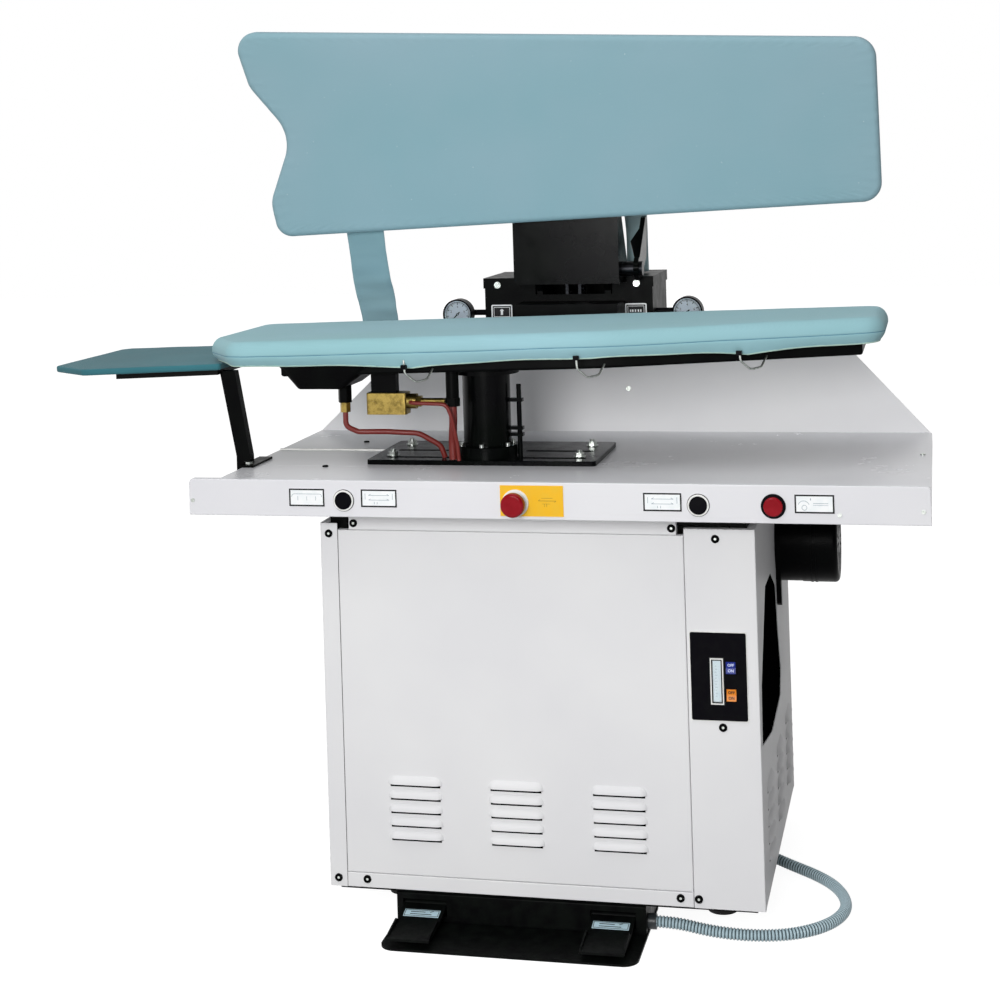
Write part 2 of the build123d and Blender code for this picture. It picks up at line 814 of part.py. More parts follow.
with BuildPart() as motor_cowl:
    with BuildSketch(Plane.YZ.offset(cowl_start_x)):
        with Locations((motor_y, motor_z)):
            Circle(motor_radius + cowl_wall / 2)
    extrude(amount=cowl_length)
    fillet(motor_cowl.edges().filter_by(GeomType.CIRCLE).sort_by(Axis.X)[-1], 9)
    for start in (0.22, 0.34):
        with BuildSketch(Plane.YZ.offset(cowl_start_x + cowl_length * start)):
            with Locations((motor_y, motor_z)):
                Circle(motor_radius + cowl_wall)
                Circle(motor_radius, mode=Mode.SUBTRACT)
        extrude(amount=4)
    with BuildSketch(Plane.YZ.offset(cowl_start_x)):
        with Locations((motor_y, motor_z)):
            Circle(motor_radius - cowl_wall)
    extrude(amount=cowl_length - cowl_wall - 7, mode=Mode.SUBTRACT)
    with BuildSketch(Plane.YZ.offset(cowl_end_x)):
        with Locations((motor_y, motor_z)):
            for turn in range(0, 360, 20):
                with PolarLocations(motor_radius * 0.55, 1, start_angle=turn):
                    SlotOverall(motor_radius * 0.5, 6)
    extrude(amount=-cowl_wall - 8, mode=Mode.SUBTRACT)
motor_cowl.part.label = "motor_cowl"
export_step(motor_cowl.part, "parts/motor_cowl.step")

# table with its raised front edge

table_width = table_right - table_left
table_mid_x = (table_left + table_right) / 2
lip_back = table_front + apron_fold
apron_mid = (apron_top + apron_bottom) / 2
stem_xs = (start_left_x, start_right_x, release_x)
with BuildPart() as table_top:
    with BuildSketch(Plane.YZ.offset(table_left)):
        with Locations((table_front, apron_bottom)):
            Rectangle(table_sheet, apron_top - apron_bottom, align=low_corner)
            Rectangle(apron_return, table_sheet, align=low_corner)
        with Locations((table_front, apron_top - table_sheet)):
            Rectangle(apron_fold, table_sheet, align=low_corner)
        with Locations((lip_back - table_sheet, table_under)):
            Rectangle(table_sheet, apron_top - table_under, align=low_corner)
        with Locations((lip_back - table_sheet, table_under)):
            Rectangle(table_back - lip_back + table_sheet, table_sheet, align=low_corner)
    extrude(amount=table_width)
    for face_x, step in ((table_left, 1), (table_right, -1)):
        with BuildSketch(Plane.YZ.offset(face_x)):
            with Locations((table_front, apron_bottom)):
                Rectangle(apron_fold, apron_top - apron_bottom, align=low_corner)
            with Locations((table_front, table_height - side_flange)):
                Rectangle(table_back - table_front, side_flange, align=low_corner)
        extrude(amount=table_sheet * step)
    fillet(table_top.edges().filter_by(Axis.Y).group_by(Axis.Y)[0], apron_corner)
    front_edges = table_top.faces().sort_by(Axis.Y)[0].outer_wire().edges()
    fillet(front_edges, table_sheet * 0.7)
    with BuildSketch(apron_face):
        with Locations(*[(x, control_line) for x in stem_xs]):
            Circle(stem_radius + 3)
        with Locations((estop_x, control_line)):
            Circle(stem_radius + 3)
    extrude(amount=-table_sheet, mode=Mode.SUBTRACT)
    with BuildSketch(Plane.XY.offset(table_height)):
        with Locations((table_left + table_sheet, seam_front)):
            Rectangle(plate_middle_x - plate_width / 2 - table_left, seam_width, align=(Align.MIN, Align.CENTER))
        with Locations((table_left + table_sheet, seam_back)):
            Rectangle(plate_middle_x - plate_width / 2 - table_left, seam_width, align=(Align.MIN, Align.CENTER))
    extrude(amount=-table_sheet / 2, mode=Mode.SUBTRACT)
table_top.part.label = "table_top"
export_step(table_top.part, "parts/table_top.step")

splash_rise = backsplash_top - table_height
with BuildPart() as table_backsplash:
    with BuildSketch(Plane.XZ.offset(-table_back)):
        Polygon(
            (table_left, table_height),
            (table_left + backsplash_left_cut, table_height + backsplash_left_rise),
            (table_left + backsplash_left_cut + splash_rise - backsplash_left_rise, backsplash_top),
            (table_right - backsplash_right_cut, backsplash_top),
            (table_right - 3, table_height),
            (table_right - 3, table_height - side_flange),
            (table_left, table_height - side_flange),
            align=None,
        )
    extrude(amount=-table_sheet)
    with BuildSketch(Plane.XZ.offset(-table_back)):
        with Locations((table_left + backsplash_left_cut + splash_rise - backsplash_left_rise, backsplash_top)):
            Rectangle(
                table_width - backsplash_left_cut - splash_rise + backsplash_left_rise - backsplash_right_cut,
                table_sheet,
                align=(Align.MIN, Align.MAX),
            )
    extrude(amount=-backsplash_return)
table_backsplash.part.label = "table_backsplash"
export_step(table_backsplash.part, "parts/table_backsplash.step")

# buttons and plates on the apron

with BuildPart() as estop_plate:
    with BuildSketch(apron_face):
        with Locations((yellow_middle_x, yellow_middle_z)):
            Rectangle(yellow_width, yellow_height)
        with Locations((estop_x, control_line)):
            Circle(stem_radius + 3, mode=Mode.SUBTRACT)
    extrude(amount=yellow_thickness)
estop_plate.part.label = "estop_plate"
export_step(estop_plate.part, "parts/estop_plate.step")

bore = stem_radius + button_clearance
block_top = table_under - 0.5
with BuildPart() as button_rings:
    with BuildSketch(apron_face):
        with Locations((start_left_x, control_line), (start_right_x, control_line)):
            Circle(ring_radius)
        with Locations((release_x, control_line)):
            Circle(release_ring_radius)
    extrude(amount=ring_height_out)
    fillet(button_rings.faces().group_by(Axis.Y)[0].edges(), 1.2)
    with BuildSketch(apron_face.offset(ring_height_out)):
        with Locations((start_left_x, control_line), (start_right_x, control_line)):
            Circle(ring_radius - ring_wall)
        with Locations((release_x, control_line)):
            Circle(release_cap_radius + button_clearance)
    extrude(amount=-ring_height_out + 0.6, mode=Mode.SUBTRACT)
    with BuildSketch(apron_face.offset(yellow_thickness)):
        with Locations((estop_x, control_line)):
            Circle(estop_collar_radius)
    extrude(amount=estop_collar_height)
    # the switch bodies reach back under the table
    with BuildSketch(apron_face):
        with Locations(*[(x, control_line) for x in stem_xs + (estop_x,)]):
            Circle(stem_radius + 2.6)
    extrude(amount=-apron_fold)
    with BuildSketch(apron_face.offset(-table_sheet)):
        with Locations(*[(x, block_top) for x in stem_xs + (estop_x,)]):
            Rectangle(switch_block_height, switch_block_height, align=(Align.CENTER, Align.MAX))
    extrude(amount=-switch_block_depth)
    with BuildSketch(apron_face.offset(yellow_thickness + estop_collar_height)):
        with Locations(*[(x, control_line) for x in stem_xs + (estop_x,)]):
            Circle(bore)
    extrude(amount=-stem_length - button_travel - 14, mode=Mode.SUBTRACT)
button_rings.part.label = "button_rings"
export_step(button_rings.part, "parts/button_rings.step")

with BuildPart() as left_start_button:
    with BuildSketch(apron_face.offset(ring_height_out + start_button_proud)):
        with Locations((start_left_x, control_line)):
            Circle(ring_radius - ring_wall - button_clearance)
    extrude(amount=-start_button_proud)
    fillet(left_start_button.faces().sort_by(Axis.Y)[0].edges(), 1)
    with BuildSketch(apron_face.offset(ring_height_out)):
        with Locations((start_left_x, control_line)):
            Circle(stem_radius)
    extrude(amount=-stem_length)
left_start_button.part.label = "left_start_button"
export_step(left_start_button.part, "parts/left_start_button.step")

with BuildPart() as right_start_button:
    with BuildSketch(apron_face.offset(ring_height_out + start_button_proud)):
        with Locations((start_right_x, control_line)):
            Circle(ring_radius - ring_wall - button_clearance)
    extrude(amount=-start_button_proud)
    fillet(right_start_button.faces().sort_by(Axis.Y)[0].edges(), 1)
    with BuildSketch(apron_face.offset(ring_height_out)):
        with Locations((start_right_x, control_line)):
            Circle(stem_radius)
    extrude(amount=-stem_length)
right_start_button.part.label = "right_start_button"
export_step(right_start_button.part, "parts/right_start_button.step")

with BuildPart() as release_button:
    with BuildSketch(apron_face.offset(ring_height_out + release_proud)):
        with Locations((release_x, control_line)):
            Circle(release_cap_radius)
    extrude(amount=-release_proud + 1)
    fillet(release_button.faces().sort_by(Axis.Y)[0].edges(), 2)
    with BuildSketch(apron_face.offset(ring_height_out + 1)):
        with Locations((release_x, control_line)):
            Circle(stem_radius)
    extrude(amount=-stem_length)
release_button.part.label = "release_button"
export_step(release_button.part, "parts/release_button.step")

collar_end = yellow_thickness + estop_collar_height
with BuildPart() as estop_cap:
    with BuildSketch(apron_face.offset(collar_end + estop_travel + 0.5)):
        with Locations((estop_x, control_line)):
            Circle(estop_cap_radius)
    extrude(amount=estop_cap_height - estop_travel)
    fillet(estop_cap.faces().sort_by(Axis.Y)[0].edges(), 5)
    fillet(estop_cap.faces().sort_by(Axis.Y)[-1].edges(), 2)
    with BuildSketch(apron_face.offset(collar_end + estop_travel + 1)):
        with Locations((estop_x, control_line)):
            Circle(stem_radius)
    extrude(amount=-collar_end - stem_length / 2 - 6)
estop_cap.part.label = "estop_cap"
export_step(estop_cap.part, "parts/estop_cap.step")

housing_plate_xs = (housing_left + 35, housing_right - 35)
with BuildPart() as label_plates:
    with BuildSketch(apron_face):
        with Locations(*[(x, label_line) for x in label_xs]):
            Rectangle(label_width, label_height)
    extrude(amount=label_thickness)
    with BuildSketch(housing_face):
        with Locations(*[(x, housing_plate_z) for x in housing_plate_xs]):
            RectangleRounded(housing_plate_width, housing_plate_height, 3)
    extrude(amount=label_thickness)
label_plates.part.label = "label_plates"
export_step(label_plates.part, "parts/label_plates.step")

# column on its base plate

with BuildPart() as base_plate:
    with BuildSketch(Plane.XY.offset(table_height)):
        with Locations((plate_middle_x, plate_middle_y)):
            RectangleRounded(plate_width, plate_depth, 8)
        for side in (-1, 1):
            with Locations(
                (column_x + slot_offset * side, column_y - slot_front_offset),
                (column_x + slot_offset * side, column_y + slot_back_offset),
            ):
                SlotOverall(slot_length, slot_width, mode=Mode.SUBTRACT)
    extrude(amount=base_plate_thickness)
    chamfer(base_plate.faces().sort_by(Axis.Z)[-1].outer_wire().edges(), 1)
base_plate.part.label = "base_plate"
export_step(base_plate.part, "parts/base_plate.step")

with BuildPart() as column:
    with BuildSketch(Plane.XY.offset(plate_top)):
        with Locations((column_x, column_y)):
            Circle(collar_radius)
    extrude(amount=collar_height)
    chamfer(column.edges().filter_by(GeomType.CIRCLE).sort_by(Axis.Z)[-1], 1.5)
    with BuildSketch(Plane.XY.offset(plate_top)):
        with Locations((column_x, column_y)):
            Circle(column_radius)
    extrude(amount=column_top - plate_top)
    with BuildSketch(Plane.XY.offset(column_top)):
        with Locations((column_x, column_y)):
            Circle(collar_radius + 6)
    extrude(amount=-8)
    with BuildSketch(Plane.XY.offset(plate_top)):
        with Locations((column_x, column_y)):
            Circle(column_radius - column_wall)
    extrude(amount=column_top - plate_top, mode=Mode.SUBTRACT)
column.part.label = "column"
export_step(column.part, "parts/column.step")

side_pipe_x = column_x + side_pipe_offset
with BuildPart() as side_pipe:
    with BuildSketch(Plane.XY.offset(plate_top)):
        with Locations((side_pipe_x, column_y)):
            Circle(side_pipe_radius)
    extrude(amount=column_top - 30 - plate_top)
    for height in (37, 49, 101):
        with BuildSketch(Plane.XY.offset(plate_top + height)):
            with Locations((side_pipe_x + side_pipe_radius + 3, column_y)):
                Rectangle(
                    side_pipe_offset - column_radius + side_pipe_radius + 3 - 0.2,
                    2 * side_pipe_radius + 5,
                    align=(Align.MAX, Align.CENTER),
                )
        extrude(amount=6)
side_pipe.part.label = "side_pipe"
export_step(side_pipe.part, "parts/side_pipe.step")

# buck: steam chest with its padded cover

rise = radians(rise_angle)
buck_plane = Plane(origin=(0, 0, buck_height), x_dir=(cos(rise), 0, sin(rise)), z_dir=(-sin(rise), 0, cos(rise)))
buck_points = [(-672, 225), (592, 185), (592, -72), (100, -187), (-592, -185), (-672, -66)]
buck_corners = [42, 45, 46, 400, 60, 40]
buck_start = ((buck_points[0][0] + buck_points[1][0]) / 2, (buck_points[0][1] + buck_points[1][1]) / 2)


def buck_level(x):
    return buck_height + x * tan(rise)


def buck_front(x):
    (right_x, right_y), (middle_x, middle_y) = buck_points[2:4]
    return middle_y + max(0, x - middle_x) * (right_y - middle_y) / (right_x - middle_x)


with BuildPart() as buck_pad:
    with BuildSketch(buck_plane) as buck_outline:
        with BuildLine():
            FilletPolyline(*buck_points, radius=buck_corners, close=True)
        make_face()
    extrude(amount=-buck_pad_depth)
    buck_axis = Axis(buck_plane.origin, buck_plane.z_dir)
    fillet(buck_pad.faces().sort_by(buck_axis)[-1].edges(), buck_edge_radius)
    fillet(buck_pad.faces().sort_by(buck_axis)[0].edges(), 3)
    with BuildSketch(buck_plane.offset(-buck_pad_top)):
        with BuildLine():
            FilletPolyline(*buck_points, radius=buck_corners, close=True)
        make_face()
        offset(amount=-buck_pad_side)
    extrude(amount=-buck_pad_depth, mode=Mode.SUBTRACT)
buck_pad.part.label = "buck_pad"
export_step(buck_pad.part, "parts/buck_pad.step")

chest_bottom = buck_pad_top + seat_gap + chest_depth
floor_left = sump_left + sump_left_slant
floor_right = sump_right - sump_right_slant
with BuildPart() as buck_pan:
    with BuildSketch(buck_plane.offset(-buck_pad_top - seat_gap)):
        with BuildLine():
            FilletPolyline(*buck_points, radius=buck_corners, close=True)
        make_face()
        offset(amount=-buck_pad_side - seat_gap)
    extrude(amount=-chest_depth)
    with BuildSketch(buck_plane.offset(-chest_bottom)):
        with BuildLine():
            FilletPolyline(*buck_points, radius=buck_corners, close=True)
        make_face()
        offset(amount=-pan_inset)
        with Locations((pan_left, 0)):
            Rectangle(table_width, table_width, align=(Align.MAX, Align.CENTER), mode=Mode.SUBTRACT)
    extrude(amount=-pan_depth)
    fillet(buck_pan.faces().sort_by(buck_axis)[0].edges(), 5)
    # steam space between the two sheets, and below it in the pan
    with BuildSketch(buck_plane.offset(-buck_pad_top - seat_gap - chest_wall)):
        with BuildLine():
            FilletPolyline(*buck_points, radius=buck_corners, close=True)
        make_face()
        offset(amount=-buck_pad_side - seat_gap - chest_wall)
    extrude(amount=2 * chest_wall - chest_depth, mode=Mode.SUBTRACT)
    with BuildSketch(buck_plane.offset(-chest_bottom)):
        with BuildLine():
            FilletPolyline(*buck_points, radius=buck_corners, close=True)
        make_face()
        offset(amount=-pan_inset - chest_wall)
        with Locations((pan_left + chest_wall, 0)):
            Rectangle(table_width, table_width, align=(Align.MAX, Align.CENTER), mode=Mode.SUBTRACT)
    extrude(amount=chest_wall - pan_depth, mode=Mode.SUBTRACT)
    # sump pressed into the pan with slanted sides
    with BuildSketch(Plane.XY.offset(sump_bottom)):
        with Locations(((floor_left + floor_right) / 2, (sump_front + sump_back) / 2)):
            RectangleRounded(
                floor_right - floor_left, sump_back - sump_front - 2 * sump_side_slant, sump_corner - sump_side_slant
            )
    with BuildSketch(Plane.XY.offset(buck_level(sump_left) - chest_bottom - chest_wall)):
        with Locations(((sump_left + sump_right) / 2, (sump_front + sump_back) / 2)):
            RectangleRounded(sump_right - sump_left, sump_back - sump_front, sump_corner)
    loft()
    fillet(buck_pan.faces().sort_by(Axis.Z)[0].edges(), 6)
    with BuildSketch(Plane.XY.offset(column_top)):
        with Locations((column_x, column_y)):
            Circle(boss_radius)
    extrude(amount=buck_level(column_x) - chest_bottom - column_top)
    # inlet below the sump, bracket of the valve, outlet fitting and its collar
    with BuildSketch(Plane.XY.offset(valve_bottom + 21)):
        with Locations((inlet_x, fitting_y)):
            RegularPolygon(13, 6)
    extrude(amount=sump_bottom + 10 - valve_bottom - 21)
    with BuildSketch(Plane.XY.offset(valve_bottom + valve_height)):
        with Locations((valve_left + valve_length / 2 - 6, fitting_y)):
            Rectangle(48, 20)
    extrude(amount=buck_level(valve_left) - chest_bottom - pan_depth / 2 - valve_bottom - valve_height)
    with BuildSketch(Plane.XY.offset(valve_bottom + 28)):
        with Locations((outlet_x, fitting_y)):
            Circle(12)
    extrude(amount=buck_level(outlet_x) - chest_bottom - pan_depth / 2 - valve_bottom - 28)
    with BuildSketch(Plane.XY.offset(valve_bottom + 14)):
        with Locations((outlet_x, fitting_y)):
            RegularPolygon(14, 6)
    extrude(amount=15)
buck_pan.part.label = "buck_pan"
export_step(buck_pan.part, "parts/buck_pan.step")

# a wire hook holds the cover's hem against the chest
with BuildPart() as cover_hooks:
    for hook_x in hook_xs:
        hem_z = buck_level(hook_x) - buck_pad_depth
        hem_y = buck_front(hook_x) + buck_pad_side / 2
        hook_left = hook_x - hook_width / 2
        wall_y = buck_front(hook_x + hook_width / 2) + pan_inset - 1.2
        with BuildLine() as hook_path:
            FilletPolyline(
                (hook_left, hem_y, buck_level(hook_left) - buck_pad_depth - seat_gap),
                (hook_left + 1, hem_y + 2, hem_z - hook_drop * 0.6),
                (hook_x - 4, hem_y + 12, hem_z - hook_drop),
                (hook_x + 14, hem_y + 24, hem_z - hook_drop * 0.92),
                (hook_x + hook_width / 2, wall_y, hem_z - pan_depth * 0.7),
                radius=[12, 12, 10],
            )
        with BuildSketch(Plane(hook_path.line @ 0, z_dir=hook_path.line % 0)):
            Circle(hook_wire)
        sweep(path=hook_path.line)
cover_hooks.part.label = "cover_hooks"
export_step(cover_hooks.part, "parts/cover_hooks.step")

# fittings and hoses below the buck

valve_right = valve_left + valve_length
valve_axis_z = valve_bottom + valve_height * 0.58
nipple_end = outlet_x - 14 - seat_gap
with BuildPart() as brass_valve:
    with BuildSketch(Plane.XY.offset(valve_bottom)):
        with Locations((valve_left + valve_length / 2, fitting_y)):
            Rectangle(valve_length, valve_width)
    extrude(amount=valve_height)
    fillet(brass_valve.edges().filter_by(Axis.Z), 4)
    chamfer(brass_valve.faces().sort_by(Axis.Z)[-1].edges(), 1)
    with BuildSketch(Plane.YZ.offset(valve_right)):
        with Locations((fitting_y, valve_axis_z)):
            Circle(14)
    extrude(amount=17)
    with BuildSketch(Plane.YZ.offset(valve_right + 17)):
        with Locations((fitting_y, valve_axis_z)):
            RegularPolygon(11, 6)
    extrude(amount=9)
    with BuildSketch(Plane.YZ.offset(valve_right + 26)):
        with Locations((fitting_y, valve_axis_z)):
            Circle(5.5)
    extrude(amount=nipple_end - valve_right - 26)
    for screw_y in (-12, 12):
        with BuildSketch(Plane.XZ.offset(valve_width / 2 - fitting_y)):
            with Locations((valve_left + valve_length / 2 + screw_y * 2, valve_bottom + valve_height / 2)):
                Circle(5)
        extrude(amount=2)
    with BuildSketch(Plane.XY.offset(valve_bottom + 3)):
        with Locations((inlet_x, fitting_y)):
            RegularPolygon(10, 6)
    extrude(amount=18)
brass_valve.part.label = "brass_valve"
export_step(brass_valve.part, "parts/brass_valve.step")

inlet_hose = [
    (inlet_x, fitting_y, valve_bottom + 3 - seat_gap),
    (inlet_x, fitting_y, valve_bottom - 24),
    (inlet_x + 22, fitting_y + 6, valve_bottom - 35),
    (-322, -84, plate_top + 51),
    (-262, -74, plate_top + 47),
    (-222, -66, plate_top + 23),
    (-216, -62, plate_top + 1),
]
outlet_hose = [
    (outlet_x, fitting_y, valve_bottom + 14 - seat_gap),
    (outlet_x, fitting_y, valve_bottom - 16),
    (outlet_x - 6, fitting_y + 14, valve_bottom - 52),
    (outlet_x - 6, fitting_y + 16, plate_top + 1),
]
with BuildPart() as red_hoses:
    with BuildLine() as inlet_path:
        FilletPolyline(*inlet_hose, radius=[14, 16, 60, 45, 24])
    with BuildSketch(Plane(inlet_path.line @ 0, z_dir=inlet_path.line % 0)):
        Circle(thin_hose_radius)
    sweep(path=inlet_path.line)
    with BuildLine() as outlet_path:
        FilletPolyline(*outlet_hose, radius=[60, 60])
    with BuildSketch(Plane(outlet_path.line @ 0, z_dir=outlet_path.line % 0)):
        Circle(thick_hose_radius)
    sweep(path=outlet_path.line)
red_hoses.part.label = "red_hoses"
export_step(red_hoses.part, "parts/red_hoses.step")

copper_points = [
    (valve_right + 9, fitting_y - 14 - seat_gap, valve_axis_z),
    (valve_right + 9, fitting_y - 26, valve_axis_z),
    (outlet_x - 6, fitting_y - 25, valve_axis_z - 3),
    (outlet_x + 3, fitting_y - 21, valve_axis_z - 28),
    (outlet_x + 8, fitting_y - 4, plate_top + 30),
    (outlet_x + 9, fitting_y, plate_top + 1),
]
with BuildPart() as copper_tube:
    with BuildLine() as copper_path:
        FilletPolyline(*copper_points, radius=[9, 14, 50, 50])
    with BuildSketch(Plane(copper_path.line @ 0, z_dir=copper_path.line % 0)):
        Circle(copper_radius)
    sweep(path=copper_path.line)
copper_tube.part.label = "copper_tube"
export_step(copper_tube.part, "parts/copper_tube.step")

# left shelf

shelf_slope = radians(shelf_angle)
shelf_plane = Plane(
    origin=(shelf_joint_x, 0, shelf_height),
    x_dir=(cos(shelf_slope), 0, sin(shelf_slope)),
    z_dir=(-sin(shelf_slope), 0, cos(shelf_slope)),
)
shelf_points = [(6, -119), (-252, -166), (-342, -92), (-342, 205), (-326, 226), (6, 248)]
with BuildPart() as shelf_board:
    with BuildSketch(shelf_plane):
        with BuildLine():
            FilletPolyline(*shelf_points, radius=[8, 16, 10, 10, 10, 8], close=True)
        make_face()
    extrude(amount=-shelf_thickness)
    shelf_axis = Axis(shelf_plane.origin, shelf_plane.z_dir)
    fillet(shelf_board.faces().sort_by(shelf_axis)[-1].edges(), 4)
    fillet(shelf_board.faces().sort_by(shelf_axis)[0].edges(), 3)
shelf_board.part.label = "shelf_board"
export_step(shelf_board.part, "parts/shelf_board.step")

leg_top_z = shelf_height - shelf_thickness - shelf_bar_height - 1.2
leg_base_z = table_height - side_flange
with BuildPart() as shelf_leg:
    with BuildSketch(shelf_plane.offset(-shelf_thickness)):
        Polygon((0, -116), (-190, -151), (-190, -166 + 30), (-30, -106), (-30, shelf_bar_back), (0, shelf_bar_back), align=None)
    extrude(amount=-shelf_bar_height)
    with BuildSketch(Plane.XZ.offset(leg_thickness / 2 - leg_y)):
        Polygon(
            (leg_foot_x - leg_width / 2, leg_base_z),
            (leg_foot_x + leg_width / 2 - 2.4, leg_base_z),
            (leg_foot_x + leg_width / 2 - 2.4, table_height + 14),
            (leg_top_x + leg_width / 2, leg_top_z + 6),
            (leg_top_x - leg_width / 2, leg_top_z + 6),
            (leg_foot_x - leg_width / 2, table_height + 14),
            align=None,
        )
    extrude(amount=-leg_thickness)
    bracket_length = foot_bracket_back - foot_bracket_front
    with BuildSketch(Plane.XZ.offset(-foot_bracket_front)):
        with Locations((table_left - seat_gap, leg_base_z)):
            Rectangle(bracket_thickness, side_flange + bracket_thickness, align=(Align.MAX, Align.MIN))
        with Locations((table_left - seat_gap - bracket_thickness, table_height)):
            Rectangle(26, bracket_thickness, align=low_corner)
    extrude(amount=-bracket_length)
shelf_leg.part.label = "shelf_leg"
export_step(shelf_leg.part, "parts/shelf_leg.step")

# hinge frame: two plates that rise behind the table, their eyes carry the head's shaft

lug_y = hinge_y + lug_radius * cos(radians(lug_angle))
lug_z = hinge_z + lug_radius * sin(radians(lug_angle))
closed_lug_z = hinge_z + lug_radius * sin(radians(lug_angle + opening))
rod_stroke = closed_lug_z - lug_z
slot_low_y = min(lug_y, hinge_y + lug_radius * cos(radians(lug_angle + opening)))
slot_high_y = hinge_y + lug_radius
rod_y = (slot_low_y + slot_high_y) / 2
rod_ratio = rod_stroke / radians(opening)
print("rod stroke", round(rod_stroke, 4), "mm, ratio", round(rod_ratio / 1000, 8), "m per rad")
lag = [
    lug_radius * (sin(radians(lug_angle + opening * i / 200)) - sin(radians(lug_angle))) - rod_stroke * i / 200
    for i in range(201)
]
print("pin against rod", round(min(lag), 3), round(max(lag), 3))

shelf_under = hinge_z - 50
cylinder_top = hinge_z - 103
cylinder_bottom = cylinder_top - cylinder_length
mast_front = housing_front + housing_sheet + seat_gap
mast_back = mast_front + 56
mast_top = hinge_z - 22
mast_foot_top = housing_bottom - 10
mast_foot_bottom = mast_foot_top - 90
beam_top = hinge_z - 66
beam_bottom = beam_top - 47
beam_front = hinge_y - 56
with BuildPart() as hinge_frame:
    for plate_x in (left_plate_x, right_plate_x):
        with BuildSketch(Plane.YZ.offset(plate_x - frame_plate / 2)):
            with Locations((hinge_y, hinge_z)):
                Circle(hinge_eye_radius)
            Polygon(
                (hinge_y, hinge_z - hinge_eye_radius),
                (mast_front, mast_top - 23),
                (mast_front, mast_top),
                (hinge_y + hinge_eye_radius - 1, hinge_z + 2),
                align=None,
            )
            Polygon(
                (mast_front, mast_top),
                (mast_back, mast_top - 16),
                (mast_back, mast_foot_bottom),
                (back_y, mast_foot_bottom),
                (back_y, mast_foot_top),
                (mast_front, mast_foot_top),
                align=None,
            )
            with Locations((hinge_y, hinge_z)):
                Circle(hinge_shaft_radius + running_clearance, mode=Mode.SUBTRACT)
        extrude(amount=frame_plate)
        # tongue through the housing's front wall to the cross beam
        with BuildSketch(Plane.YZ.offset(plate_x - frame_plate / 2)):
            with Locations((beam_front + 20, beam_bottom + 6)):
                Rectangle(mast_front - beam_front - 18, 32, align=low_corner)
        extrude(amount=frame_plate)
    with BuildSketch(Plane.YZ.offset(arm_left)):
        with Locations((beam_front, beam_bottom)):
            Rectangle(housing_front - lid_gap - 2 - beam_front, beam_top - beam_bottom, align=low_corner)
    extrude(amount=arm_right - 3 - arm_left)
    # shelf that carries the cylinder
    with BuildSketch(Plane.XY.offset(cylinder_bottom)):
        with Locations((left_plate_x, mast_front)):
            Rectangle(right_plate_x - left_plate_x, mast_back - mast_front, align=low_corner)
    extrude(amount=-12)
    # foot plate on the cabinet's back
    with BuildSketch(Plane.XZ.offset(-back_y)):
        with Locations((0, mast_foot_bottom)):
            Rectangle(2 * frame_x, mast_foot_top - mast_foot_bottom, align=(Align.CENTER, Align.MIN))
    extrude(amount=-8)
hinge_frame.part.label = "hinge_frame"
export_step(hinge_frame.part, "parts/hinge_frame.step")

with BuildPart() as hinge_shaft:
    shaft_left = arm_left - 5
    shaft_right = lever_x + lever_thickness / 2 + 6
    with BuildSketch(Plane.YZ.offset(shaft_left)):
        with Locations((hinge_y, hinge_z)):
            Circle(hinge_shaft_radius)
    extrude(amount=shaft_right - shaft_left)
    with BuildSketch(Plane.YZ.offset(cylinder_x - 30)):
        with Locations((hinge_y, hinge_z)):
            Circle(hub_radius)
    extrude(amount=60)
    with BuildSketch(Plane.YZ.offset(cylinder_x - lug_thickness / 2)):
        with BuildLine():
            Polyline(
                (hinge_y + hub_radius * sin(radians(lug_angle)), hinge_z - hub_radius * cos(radians(lug_angle))),
                (lug_y + lug_eye_radius * sin(radians(lug_angle)), lug_z - lug_eye_radius * cos(radians(lug_angle))),
                (lug_y - lug_eye_radius * sin(radians(lug_angle)), lug_z + lug_eye_radius * cos(radians(lug_angle))),
                (hinge_y - hub_radius * sin(radians(lug_angle)), hinge_z + hub_radius * cos(radians(lug_angle))),
                close=True,
            )
        make_face()
        with Locations((lug_y, lug_z)):
            Circle(lug_eye_radius)
    extrude(amount=lug_thickness)
    with BuildSketch(Plane.YZ.offset(cylinder_x - lug_thickness / 2 - 4 - yoke_wall - 2)):
        with Locations((lug_y, lug_z)):
            Circle(lug_pin_radius)
    extrude(amount=lug_thickness + 2 * (4 + yoke_wall + 2))
hinge_shaft.part.label = "hinge_shaft"
export_step(hinge_shaft.part, "parts/hinge_shaft.step")

# the closed head is lifted about the hinge
lift = Location((0, hinge_y, hinge_z)) * Location((0, 0, 0), (-opening, 0, 0)) * Location((0, -hinge_y, -hinge_z))


def raised(y, z):
    turn = radians(opening)
    return (
        hinge_y + (y - hinge_y) * cos(turn) + (z - hinge_z) * sin(turn),
        hinge_z - (y - hinge_y) * sin(turn) + (z - hinge_z) * cos(turn),
    )


# head: steel chest and padded face

head_closed = Plane(origin=(0, 0, face_height), x_dir=(cos(rise), 0, sin(rise)), z_dir=(-sin(rise), 0, cos(rise)))
head_face = Plane(lift * head_closed.location)
head_seat = Plane(lift * head_closed.offset(head_pad_depth).location)
head_points = [(-703, -202), (-672, -88), (-590, 15), (-645, 150), (-633, 224), (586, 182), (583, -134)]
head_corners = [38, 60, 80, 60, 34, 38, 42]
head_axis = Axis(head_face.origin, head_face.z_dir)
with BuildPart() as head_pad:
    with BuildSketch(head_face):
        with BuildLine():
            FilletPolyline(*head_points, radius=head_corners, close=True)
        make_face()
    extrude(amount=head_pad_depth)
    fillet(head_pad.faces().sort_by(head_axis)[0].edges(), head_pad_radius)
    fillet(head_pad.faces().sort_by(head_axis)[-1].edges(), 5)
head_pad.part.label = "head_pad"
export_step(head_pad.part, "parts/head_pad.step")

